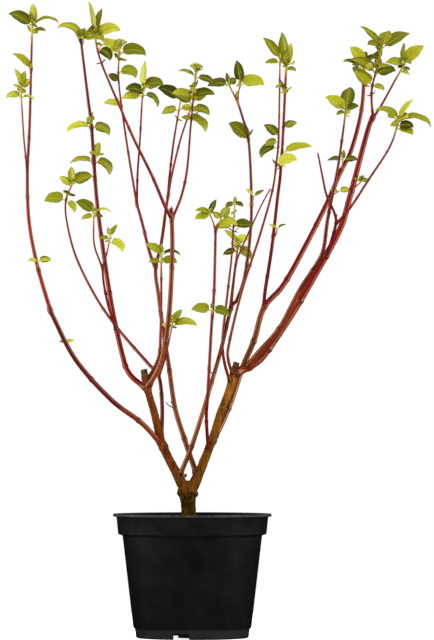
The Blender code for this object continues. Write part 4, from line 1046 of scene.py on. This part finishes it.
def grow_blade(leaves, leaf, chance, tone):
    """A blade with its stalk, which runs on under it as the rib."""
    folded = leaf.rise > YOUNG_RISE
    broad = np.interp(leaf.length, BLADE_SIZES, BLADE_WIDE)
    slender = LEAF_SLENDER * (YOUNG_SHARE + BLADE_YOUNG if folded else 1) * broad
    width = leaf.length * slender * chance.uniform(*BLADE_SPREAD)
    fold = chance.uniform(*FOLD) * (FOLD_YOUNG if folded else 1)
    small = leaf.length < SMALL_LEAF
    rows, across, faces, spots = SMALL_GRID if small else FULL_GRID
    verts = blade_verts(leaf, width, fold, chance.uniform(0, 6), rows, across, not small)
    bronze, two_tone = chance.random() < BRONZE, chance.random() < TWO_TONE
    leaves.add(verts, faces, blade_tones(spots, rows, across, tone, bronze, two_tone))
    thick, gain, loss = STALK
    rib = [point - up * STALK_SINK for share, point, _, up in leaf.frame(20, TIP_CURL)
           if share <= STALK_REACH]
    radii = [(thick + leaf.length * gain) * (1 - loss * n / len(rib)) for n in range(len(rib))]
    leaves.add_tube("stalk", rib, radii, 6)


def finer_growth(stems, limbs):
    """Young pairs at the tips and short side twigs between the leaves, within the same reach."""
    extra, twigs = [], []
    for shoot in SHOOTS:
        if not shoot.pairs:
            continue
        chance = random.Random(f"{SEED} {shoot.name} finer")
        line = stems[shoot.name]
        tip = line[-1][0]
        facing = shoot.pairs[0][1] + 90
        if shoot.leafy or len(shoot.pairs) > 1:
            for half in range(2):
                extra.append(Leaf(shoot.mass, tip, facing + 180 * half + chance.uniform(*TIP_TURN),
                                  chance.uniform(*TIP_LENGTH), chance.uniform(*TIP_RISE), TIP_DROOP,
                                  chance.uniform(*TIP_ROLL), True))
        for below, bearing, length, *_ in shoot.pairs:
            if length < LONG_LEAF or chance.random() < SIDE_TWIG_SKIPPED:
                continue
            root = below_tip(line, below)
            turn = bearing + 90 + 180 * chance.randint(0, 1) + chance.uniform(*SIDE_TWIG_TURN)
            way = Vector((math.cos(math.radians(turn)), math.sin(math.radians(turn)), 0))
            reach = chance.uniform(*SIDE_TWIG_REACH)
            end = root + way * reach * 0.8 + Vector((0, 0, reach * 0.7))
            end.z = min(end.z, tip.z + 1)
            twigs.append([root, root.lerp(end, 0.5) + Vector((0, 0, -0.8)), end])
            for half in range(2):
                extra.append(Leaf(shoot.mass, end, turn + 180 * half + chance.uniform(*YOUNG_TURN),
                                  length * chance.uniform(*YOUNG_LENGTH),
                                  *(chance.uniform(*span) for span in YOUNG_PITCH),
                                  chance.uniform(*YOUNG_ROLL), True))
    for limb, height, bearing, length in TINY_PAIRS:
        root = at_height(limbs[limb], height)[1]
        for half in range(2):
            size = length * (1 - 0.3 * half)
            extra.append(Leaf(TINY_MASS, root, bearing + 180 * half, size, 30, 40, 40, True))
    return extra, twigs


# Pieces


def node_places(shoot, fine):
    """Distances from its foot of a limb's sections, and of the rings where leaves sit or have sat."""
    run = run_of([point for point, _ in fine])
    whole = run[-1]
    found = [whole - pair[0] for pair in shoot.pairs if pair[0] > TIP_PAIR]
    for child in SHOOTS:
        if child.parent == shoot.name:
            spot = at_height(fine, child.height)[0]
            found.append(run[min(spot, len(run) - 1)])
    chance = random.Random(f"{SEED} {shoot.name} nodes")
    bare = NODE_SPACE * chance.uniform(0.5, 0.8)
    while bare < whole - NODE_CLEAR:
        if all(abs(bare - other) > NODE_CLEAR for other in found):
            found.append(bare)
        bare += NODE_SPACE * chance.uniform(0.85, 1.15)
    return np.array(run), sorted(found)


def bump_at(along, middle, rise, length):
    """A smooth rise at a place along a line."""
    return rise * np.exp(-(((along - middle) / length) ** 2))


def add_shoot(bark, shoot, fine, foot):
    """A limb with its flared foot, its node rings and its colours; foot is its parent's radius."""
    along, nodes = node_places(shoot, fine)
    whole = along[-1]
    low_tone, high_tone = LIMB_TONE.get(shoot.name, OTHER_TONES)
    leafy_tip = bool(shoot.pairs) and shoot.name not in BARE_TIPS
    leaves_end = max((pair[0] for pair in shoot.pairs if pair[0] < YOUNG_LEAVES), default=0)
    points = np.array([tuple(p) for p, _ in fine])
    stout = np.interp(along / whole, (0, 1), LIMB_STOUT.get(shoot.name, (1, 1)))
    swell = 1 + sum(bump_at(along, spot, *NODE_SWELL) for spot in nodes)
    flare = bump_at(np.maximum(along, foot), foot, *FOOT_FLARE)
    radii = np.array([r for _, r in fine]) * LIMB_SCALE * stout * (swell + flare)
    sides = SHOOT_SIDES if shoot.width[0] > TWIG_WIDTH else TWIG_SIDES
    verts, faces, rings = tube(points, radii, sides, SHOOT_ROUGH, len(shoot.name) * 7.3)
    far, waves = STRAY
    tones = []
    for face, ring in zip(faces, rings):
        if ring < 0 or ring >= len(along) - 1:
            tones.append("green" if leafy_tip else "cut")
            continue
        at = along[ring]
        shift = far * noise.noise(Vector(verts[face[0]]) * waves)
        main = low_tone if at / whole + shift * 0.012 < TONE_TURN else high_tone
        past = whole - at - leaves_end + shift * 0.5
        if any(abs(at - spot) <= RING_STEP / 2 for spot in nodes) and past > SCARRED:
            tones.append("scar")
        elif leafy_tip and past < YOUNG_TONES[-1][0]:
            tones.append(next(tone for reach, tone in YOUNG_TONES if past < reach))
        elif at - foot + shift * 0.3 < FOOT_DARK and whole > LONG_LIMB:
            tones.append("umber")
        else:
            tones.append(main)
    bark.add(verts, faces, tones)
    for spot in nodes:
        if whole - spot > BUD_CLEAR[1] and spot > foot + BUD_CLEAR[0]:
            add_buds(bark, shoot, along, points, radii, spot)


def add_buds(bark, shoot, along, points, radii, spot):
    """The pair of pointed buds that stand at a bare node."""
    n = int(np.searchsorted(along, spot))
    if not 0 < n < len(points) - 1:
        return
    way = points[n + 1] - points[n - 1]
    way /= np.linalg.norm(way)
    turn = random.Random(f"{SEED} {shoot.name} {spot:.0f}").uniform(0, math.pi)
    level = np.array((math.cos(turn), math.sin(turn), 0))
    level -= way * np.dot(level, way)
    level /= np.linalg.norm(level)
    size = min(1.0, radii[n] / BUD_STOUT)
    for half in (1, -1):
        root = points[n] + level * half * radii[n] * 0.7
        line = [root + way * t * BUD_LENGTH * size + level * half * (0.9 * t - 0.5 * t * t) * size
                for t, _ in BUD_SHAPE]
        bark.add_tube("bud", line, [width * size for _, width in BUD_SHAPE], 6)


def add_head(leaves, line, spread, height, name):
    """A flat head of flower buds on forking stalks."""
    chance = random.Random(f"{SEED} {name} head")
    tip = line[-1][0]
    way = (tip - line[-4][0]).normalized()
    fork = tip + way * 3
    side = way.cross(Vector((0, 1, 0))).normalized()
    level = side.cross(way)
    for n in range(HEAD_BUDS):
        reach = spread * math.sqrt((n + 0.5) / HEAD_BUDS)
        turn = n * HEAD_TURN + chance.uniform(-0.2, 0.2)
        out = side * math.cos(turn) * reach + level * math.sin(turn) * reach
        rise = height * (0.74 - 0.26 * (reach / spread) ** 2) + chance.uniform(-0.8, 0.8)
        end = fork + out + way * rise
        middle = fork + out * 0.42 + way * rise * 0.55
        leaves.add_tube("stalk", [tip, fork, middle, end], HEAD_STALK, 5)
        on = (out * 0.35 + way * rise).normalized()
        bud = [end + on * reach for reach, _ in HEAD_BUD]
        leaves.add_tube(HEAD_TONES[n % 3], bud, [radius for _, radius in HEAD_BUD], 6)


def make_shoots(lines, fine, twigs):
    """All the limbs as one piece."""
    bark = Gather(shoot_looks())
    for shoot in SHOOTS:
        if shoot.name not in STEM_RINGS:
            foot = at_height(lines[shoot.parent], shoot.height)[2]
            add_shoot(bark, shoot, fine[shoot.name], foot)
    for n, points in enumerate(twigs):
        line = zip(*smooth_line(points, SIDE_TWIG, FINE_STEP))
        bark.add_tube("lime" if n % 3 else "green", *line, 6)
    for limb, height, steps, widths in DRY:
        start = at_height(fine[limb], height)[1]
        points = [start, *(start + Vector(step) for step in steps)]
        bark.add_tube("dry", *zip(*smooth_line(points, widths, FINE_STEP)), 8, DRY_ROUGH, height)
    boughs = [s.name for s in SHOOTS if (s.leafy or not s.mass) and s.name not in STEM_RINGS]
    bark.make("shoots", "shoots", boughs)


def side_of(mass):
    """The side of the crown that a mass is on."""
    low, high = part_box(mass)
    middle = (low.x + high.x) / 2
    return "left" if middle < -SIDE_EDGE else "middle" if middle < SIDE_EDGE else "right"


def make_leaves(grown, extra, stems):
    """The blades, joined into three pieces by the side of the crown, and the young growth."""
    looks = blade_looks()
    sides = {mass: side_of(mass) for mass in sorted(SPRAYS)}
    sheaves = {side: Gather(looks) for side in ("left", "middle", "right")}
    young = Gather(looks)
    for number, leaf in enumerate(grown + extra):
        chance = random.Random(f"{SEED} blade {number}")
        # a mass's darkness is partly the leaves' age and partly painted shade
        age_and_shade, size = SPRAYS[leaf.mass]
        age_and_shade += chance.gauss(0, AGE_SPREAD) + (SHORT_LEAF[1] if leaf.length < SHORT_LEAF[0] else 0)
        if leaf.young:
            age_and_shade -= YOUNG_AGE
        tone = GREENS[min(5, max(0, round(age_and_shade)))]
        full = replace(leaf, length=leaf.length * size)
        grow_blade(young if leaf.young else sheaves[sides[leaf.mass]], full, chance, tone)
    for name, spread, height in HEADS:
        add_head(young, stems[name], spread, height, name)
    for side, sheaf in sheaves.items():
        sheaf.make(f"leaves_{side}", "foliage", [m for m in sides if sides[m] == side], LEAF_CREASE)
    young.make("young_growth", "foliage", [], LEAF_CREASE)


def grown_skin(name, closed):
    """Closed meshes grown together into one skin."""
    fused = bpy.data.objects.new(name, closed.mesh(name))
    bpy.context.scene.collection.objects.link(fused)
    remesh = fused.modifiers.new("fuse", "REMESH")
    remesh.mode = "VOXEL"
    remesh.voxel_size = SKIN_STEP * MM
    smooth = fused.modifiers.new("ease", "SMOOTH")
    smooth.factor = 0.5
    smooth.iterations = 2
    apply_modifiers(fused)
    made = fused.data
    bpy.data.objects.remove(fused)
    return made


def fine_run(samples, step):
    """Samples of a tapering line, spaced evenly enough for a skin."""
    points, radii = [], []
    for (a, ra), (b, rb) in zip(samples, samples[1:]):
        pieces = max(1, round((b - a).length / step))
        for n in range(pieces):
            points.append(tuple(a.lerp(b, n / pieces)))
            radii.append(ra + (rb - ra) * n / pieces)
    points.append(tuple(samples[-1][0]))
    radii.append(samples[-1][1])
    return np.array(points), np.array(radii)


def roughen(mesh):
    """Raise the bark's relief on a skin."""
    spots = np.zeros(len(mesh.vertices) * 3)
    mesh.vertices.foreach_get("co", spots)
    spots = spots.reshape(-1, 3) / MM
    ways = np.zeros(len(mesh.vertices) * 3)
    mesh.vertex_normals.foreach_get("vector", ways)
    ways = ways.reshape(-1, 3)
    top, reach = TRUNK_TOP
    for n, spot in enumerate(spots):
        share = STEM_RELIEF + (1 - STEM_RELIEF) * min(1, max(0, (top - spot[2]) / reach))
        if abs(ways[n][2]) > LEVEL[0]:
            share *= LEVEL[1]
        lift = 0.0
        for waves, height in RELIEF:
            there = Vector((spot[0] * waves, spot[1] * waves, spot[2] * waves * RELIEF_STRETCH))
            lift += height * (0.5 - abs(noise.noise(there)) * 2)
        spots[n] += ways[n] * lift * share
    mesh.vertices.foreach_set("co", (spots * MM).ravel())


def make_bark(fine):
    """Trunk and both stems as one skin with the bark's relief."""
    looks = mottled_looks(BARK_LOOKS)
    looks["pith"] = shader_of("pith", tint(*PITH_COLOUR), 0.8)[0]
    closed = Gather(looks)
    closed.add_tube("old bark", *fine_run(fine["trunk"], TRUNK_STEP), *TRUNK_SKIN)
    rise, fork, reach = FORK_SWELL
    for name, rings in STEM_RINGS.items():
        points, radii = fine_run(fine[name], STEM_STEP)
        heights = points[:, 2]
        swell = 1 + sum(bump_at(heights, ring, *RING_SWELL) for ring in rings)
        swell += rise * np.exp(-np.maximum(heights - fork, 0) / reach)
        closed.add_tube("old bark", points, radii * swell, *STEM_SKIN)
    for spot, radius in LUMPS:
        line = [Vector(spot) + Vector((0, 0, radius * t)) for t, _ in LUMP_SHAPE]
        closed.add_tube("old bark", line, [radius * width for _, width in LUMP_SHAPE], LUMP_SIDES)
    mesh = grown_skin("bark", closed)
    roughen(mesh)
    tips = {}
    for name in STEM_RINGS:
        tip, before = fine[name][-1][0], fine[name][-4][0]
        along = np.array(tip - before)
        tips[name] = (np.array(tip), along / np.linalg.norm(along))
    tones = [bark_tone(np.array(face.center) / MM, np.array(face.normal), tips) for face in mesh.polygons]
    dress(mesh, looks, tones)
    place("bark", mesh, ["trunk", "left_stem", "right_stem"], BARK_CREASE)


def bark_tone(spot, way, tips):
    """Which bark covers a place on the trunk or the stems."""
    x, _, z = spot
    far, waves = BARK_STRAY
    stray = far * noise.noise(Vector(spot) * waves)
    name = "left_stem" if x < -9 else "right_stem"
    tip, along = tips[name]
    below = float(np.dot(tip - spot, along))
    if below < CUT_DEPTH and np.dot(way, along) > 0.6:
        off = np.linalg.norm(spot - tip + along * below)
        return "pith" if off < PITH_RADIUS else "cut wood"
    if z + 1.5 * stray < TRUNK_BARK:
        return "old bark"
    if any(abs(z - ring + stray * 0.12 - 4) < 1.1 for ring in STEM_RINGS[name]):
        return "stem ring"
    if below + stray * 0.5 < STUB:
        return "stub bark"
    side = name.split("_")[0]
    if z + 1.5 * stray < FOOT_BARK:
        return side + " foot"
    return side + (" top" if z + 2 * stray > STEM_BARK else " stem")


# Pot and compost


def arc(centre, radius, start, end, steps):
    """Points of a rounded corner, by bearings in degrees."""
    turns = [math.radians(start + (end - start) * n / steps) for n in range(steps + 1)]
    return [(centre[0] + radius * math.cos(t), centre[1] + radius * math.sin(t)) for t in turns]


def inner_wall():
    """(radius, height) down the pot's inside, from its mouth to its floor."""
    foot = FOOT_TOP_RADIUS - POT_WALL
    return (
        (COLLAR_TOP_RADIUS - POT_WALL, POT_HEIGHT - 0.8),
        (COLLAR_FOOT_RADIUS - POT_WALL, COLLAR_FOOT + POT_WALL + 2),
        (BODY_TOP_RADIUS - POT_WALL, COLLAR_FOOT + POT_WALL),
        (BODY_FOOT_RADIUS - POT_WALL, FOOT_TOP + POT_WALL + 1.2),
        (foot, FOOT_TOP + POT_WALL), (foot, FLOOR_TOP),
    )


def pot_profile():
    """(radius, height) round the pot's wall, its corners eased by about a millimetre."""
    rim = POT_HEIGHT - RIM_ROUND
    under_lip = POT_HEIGHT - LIP_DEPTH
    ring = FOOT_RADIUS - FOOT_RING
    return [
        (0, FLOOR_TOP), *reversed(inner_wall()),
        *arc((COLLAR_TOP_RADIUS - POT_WALL + RIM_ROUND, rim), RIM_ROUND, 180, 90, 4),
        *arc((LIP_RADIUS - RIM_ROUND, rim), RIM_ROUND, 90, 0, 4),
        *arc((LIP_RADIUS - LIP_ROUND, under_lip + LIP_ROUND), LIP_ROUND, 0, -90, 3),
        (COLLAR_TOP_RADIUS + 0.6, under_lip), (COLLAR_TOP_RADIUS, under_lip - 0.8),
        (COLLAR_FOOT_RADIUS + 0.1, COLLAR_FOOT + 2),
        *arc((COLLAR_FOOT_RADIUS - COLLAR_ROUND, COLLAR_FOOT + 1), COLLAR_ROUND, 0, -75, 4),
        (BODY_TOP_RADIUS + 0.8, COLLAR_FOOT - 1.6), (BODY_TOP_RADIUS, COLLAR_FOOT - 2.6),
        (BODY_FOOT_RADIUS, FOOT_TOP + 1.6), (BODY_FOOT_RADIUS - 0.5, FOOT_TOP + 0.6),
        (FOOT_TOP_RADIUS + 0.3, FOOT_TOP), (FOOT_TOP_RADIUS - 0.1, FOOT_TOP - 0.8),
        *arc((FOOT_RADIUS - FOOT_ROUND, FOOT_ROUND), FOOT_ROUND, 0, -90, 6),
        (ring, 0), (ring, FLOOR_UNDER), (PAD_RADIUS + 1, FLOOR_UNDER), (PAD_RADIUS, 0), (0, 0),
    ]


def turned(name, profile, steps):
    """A mesh of a profile turned about the upright axis, as an object."""
    mesh = bpy.data.meshes.new(name)
    edges = [(n, n + 1) for n in range(len(profile) - 1)]
    mesh.from_pydata([(r * MM, 0, z * MM) for r, z in profile], edges, [])
    made = bpy.data.objects.new(name, mesh)
    bpy.context.scene.collection.objects.link(made)
    screw = made.modifiers.new("turn", "SCREW")
    screw.steps = screw.render_steps = steps
    screw.use_merge_vertices = True
    screw.merge_threshold = 0.00001
    apply_modifiers(made)
    return made


def move_to(obj, group):
    for old in list(obj.users_collection):
        old.objects.unlink(obj)
    group.objects.link(obj)


def cut_pot(pot):
    """Cut the notches in its foot and the holes in its floor."""
    cutters = bpy.data.collections.new("pot cutters")
    bpy.context.scene.collection.children.link(cutters)
    for n in range(NOTCH_COUNT):
        turn = math.radians(NOTCH_TURN + 360 * n / NOTCH_COUNT)
        bpy.ops.mesh.primitive_cube_add(size=1)
        box = bpy.context.object
        box.scale = (FOOT_RADIUS / 2 * MM, NOTCH_WIDTH * MM, NOTCH_HEIGHT * 2 * MM)
        box.location = (FOOT_RADIUS * math.cos(turn) * MM, FOOT_RADIUS * math.sin(turn) * MM, 0)
        box.rotation_euler = (0, 0, turn)
        move_to(box, cutters)
    for n in range(DRAIN_COUNT):
        turn = math.radians(NOTCH_TURN + 360 * (n + 0.5) / DRAIN_COUNT)
        bpy.ops.mesh.primitive_cylinder_add(vertices=24, radius=DRAIN_RADIUS * MM, depth=FLOOR_TOP * 3 * MM)
        hole = bpy.context.object
        hole.location = Vector((math.cos(turn), math.sin(turn), 0)) * DRAIN_CIRCLE * MM
        hole.location.z = FLOOR_TOP * MM
        move_to(hole, cutters)
    cut = pot.modifiers.new("cut", "BOOLEAN")
    cut.operand_type = "COLLECTION"
    cut.collection = cutters
    cut.solver = "EXACT"
    apply_modifiers(pot)
    for used in list(cutters.objects):
        bpy.data.objects.remove(used)
    bpy.data.collections.remove(cutters)


def pot_tone(height):
    if height > POT_HEIGHT - LIP_DEPTH + 1:
        return "pot rim"
    if height < FOOT_TOP + 1:
        return "pot foot"
    return "pot collar" if height > COLLAR_FOOT - COLLAR_STEP else "pot plastic"


def make_pot():
    pot = turned("pot_shell", pot_profile(), POT_STEPS)
    cut_pot(pot)
    mesh = pot.data
    bpy.data.objects.remove(pot)
    looks = mottled_looks(POT_LOOKS)
    add_scuffs(looks["pot plastic"])
    dress(mesh, looks, [pot_tone(face.center.z / MM) for face in mesh.polygons])
    place("pot_shell", mesh, ["pot"], POT_CREASE)


def add_scuffs(plastic):
    """Faint scuffs that run round the pot, in worn places."""
    tree = plastic.node_tree
    shader = tree.nodes["Principled BSDF"]
    body = shader.inputs["Base Color"].links[0].from_node
    spot = add_node(tree, "TexCoord")
    scale = add_node(tree, "Mapping", Scale=(14, 14, 900))
    streak = add_node(tree, "TexNoise", Scale=1, Detail=3)
    worn = add_node(tree, "TexNoise", Scale=17)
    thin = add_node(tree, "MapRange", From_Min=0.64, From_Max=0.72)
    where = add_node(tree, "MapRange", From_Min=0.52, From_Max=0.64, To_Max=0.6)
    both = add_node(tree, "Math")
    both.operation = "MULTIPLY"
    mix = add_node(tree, "Mix")
    mix.data_type = "RGBA"
    set_inputs(mix, B=(*tint(40, 41, 39), 1))
    link(spot, "Object", scale, "Vector")
    link(scale, "Vector", streak, "Vector")
    link(spot, "Object", worn, "Vector")
    link(streak, "Fac", thin, "Value")
    link(worn, "Fac", where, "Value")
    link(thin, "Result", both, 0)
    link(where, "Result", both, 1)
    link(both, "Value", mix, "Factor")
    link(body, "Color", mix, "A")
    link(mix, "Result", shader, "Base Color")


def crumb_height(x, y, share):
    """The compost's height at a place, whose radius is that share of the wall's."""
    spot = Vector((x, y, 0))
    crumbs = sum(height * noise.noise(spot * waves) for height, waves in CRUMBS)
    return COMPOST_TOP + COMPOST_DISH * share**2 + crumbs * (1 - share**6)


def make_compost():
    """A crumbly surface with chips of bark, down to the pot's floor."""
    wall = [(r - GAP, z + GAP) for r, z in inner_wall()[1:]]
    edge = wall[0][0]
    heap = Gather(mottled_looks(COMPOST_LOOKS))
    sectors = COMPOST_SECTORS
    rings = [(edge * n / COMPOST_RINGS, None) for n in range(1, COMPOST_RINGS + 1)] + wall
    verts = [(0, 0, COMPOST_TOP)]
    for radius, height in rings:
        for m in range(sectors):
            turn = 2 * math.pi * m / sectors
            x, y = radius * math.cos(turn), radius * math.sin(turn)
            verts.append((x, y, crumb_height(x, y, radius / edge) if height is None else height))
    verts.append((0, 0, FLOOR_TOP + GAP))
    last = 1 + (len(rings) - 1) * sectors
    faces = [(0, 1 + m, 1 + (m + 1) % sectors) for m in range(sectors)]
    for a in range(1, last):
        b = a + 1 if a % sectors else a + 1 - sectors
        faces.append((a, a + sectors, b + sectors, b))
    faces += [(last + m, len(verts) - 1, last + (m + 1) % sectors) for m in range(sectors)]
    heap.add(verts, faces, "compost")
    chance = random.Random(f"{SEED} chips")
    for _ in range(CHIPS):
        radius = (edge - CHIP_EDGE) * math.sqrt(chance.random())
        turn = chance.uniform(0, 2 * math.pi)
        x, y = radius * math.cos(turn), radius * math.sin(turn)
        if math.hypot(x - TRUNK[0][0], y) >= CHIP_TRUNK:
            add_chip(heap, (x, y, crumb_height(x, y, radius / edge)), chance)
    heap.make("compost_top", "compost", ["compost"], COMPOST_CREASE)


def add_chip(heap, spot, chance):
    """One rough crumb of bark, half sunk in the compost."""
    size = chance.choice(CHIP_SIZES)
    half = np.array((size * chance.uniform(0.8, 1.9), size * chance.uniform(0.5, 1), size * 0.5))
    corners = np.array([(a, b, c) for a in (-1, 1) for b in (-1, 1) for c in (-1, 1)]) * half
    corners *= np.array([[chance.uniform(0.55, 1.1) for _ in range(3)] for _ in range(8)])
    turn, tip = chance.uniform(0, math.pi), chance.uniform(-0.5, 0.5)
    spin = np.array(((math.cos(turn), -math.sin(turn), 0), (math.sin(turn), math.cos(turn), 0), (0, 0, 1)))
    lean = np.array(((math.cos(tip), 0, math.sin(tip)), (0, 1, 0), (-math.sin(tip), 0, math.cos(tip))))
    verts = corners @ lean.T @ spin.T + np.array(spot) + (0, 0, size * 0.15)
    faces = [(0, 1, 3, 2), (4, 6, 7, 5), (0, 4, 5, 1), (2, 3, 7, 6), (0, 2, 6, 4), (1, 5, 7, 3)]
    bark = "bark chips"
    heap.add(verts, faces, chance.choice(("compost", bark, bark, bark, "pale chips")))


# Studio


def facing(made, target):
    """Turn a lamp or a camera towards a place."""
    made.rotation_euler = (Vector(target) - made.location).to_track_quat("-Z", "Y").to_euler()
    bpy.context.scene.collection.objects.link(made)


def area_light(name, spot, height, size, power, mirrored):
    lamp = bpy.data.lights.new(name, "AREA")
    lamp.shape = "SQUARE"
    lamp.size = size
    lamp.energy = power
    made = bpy.data.objects.new(name, lamp)
    made.visible_glossy = mirrored
    made.location = spot
    facing(made, (0, 0, height))


def make_floor():
    """White board that glows a little, so that no grey shadow lies on it."""
    floor = turned("floor", [(0, 0), (900, 0)], 96)
    look, shader = shader_of("floor", (0.85, 0.85, 0.85), 0.9)
    set_inputs(shader, Emission_Color=(1, 1, 1, 1), Emission_Strength=FLOOR_GLOW)
    floor.data.materials.append(look)
    floor.location.z = -FLOOR_DROP
    floor.visible_glossy = False


def make_world():
    """A white surround that lights the plant softly."""
    world = bpy.data.worlds.new("studio")
    bpy.context.scene.world = world
    world.use_nodes = True
    back = world.node_tree.nodes["Background"]
    set_inputs(back, Color=(1, 1, 1, 1))
    seen = add_node(world.node_tree, "LightPath")
    level = add_node(world.node_tree, "MapRange", To_Min=WORLD_LIGHT, To_Max=1.0)
    link(seen, "Is Camera Ray", level, "Value")
    link(level, "Result", back, "Strength")
    world.cycles_visibility.glossy = False  # keeps the edges of the limbs free of a grey sheen


def make_camera():
    camera = bpy.data.objects.new("camera", bpy.data.cameras.new("camera"))
    camera.data.lens = CAMERA_LENS
    camera.data.clip_end = 100
    camera.location = CAMERA_SPOT
    facing(camera, CAMERA_TARGET)
    bpy.context.scene.camera = camera
    bpy.context.scene.view_settings.view_transform = "Standard"


lines, fine = centre_lines()
boughs, stems = split_lines(lines)
extra, twigs = finer_growth(stems, lines)
make_leaves(grown_leaves(boughs, stems), extra, stems)
make_shoots(lines, fine, twigs)
make_bark(fine)
make_pot()
make_compost()
make_floor()
make_world()
for lamp in LAMPS:
    area_light(*lamp)
make_camera()
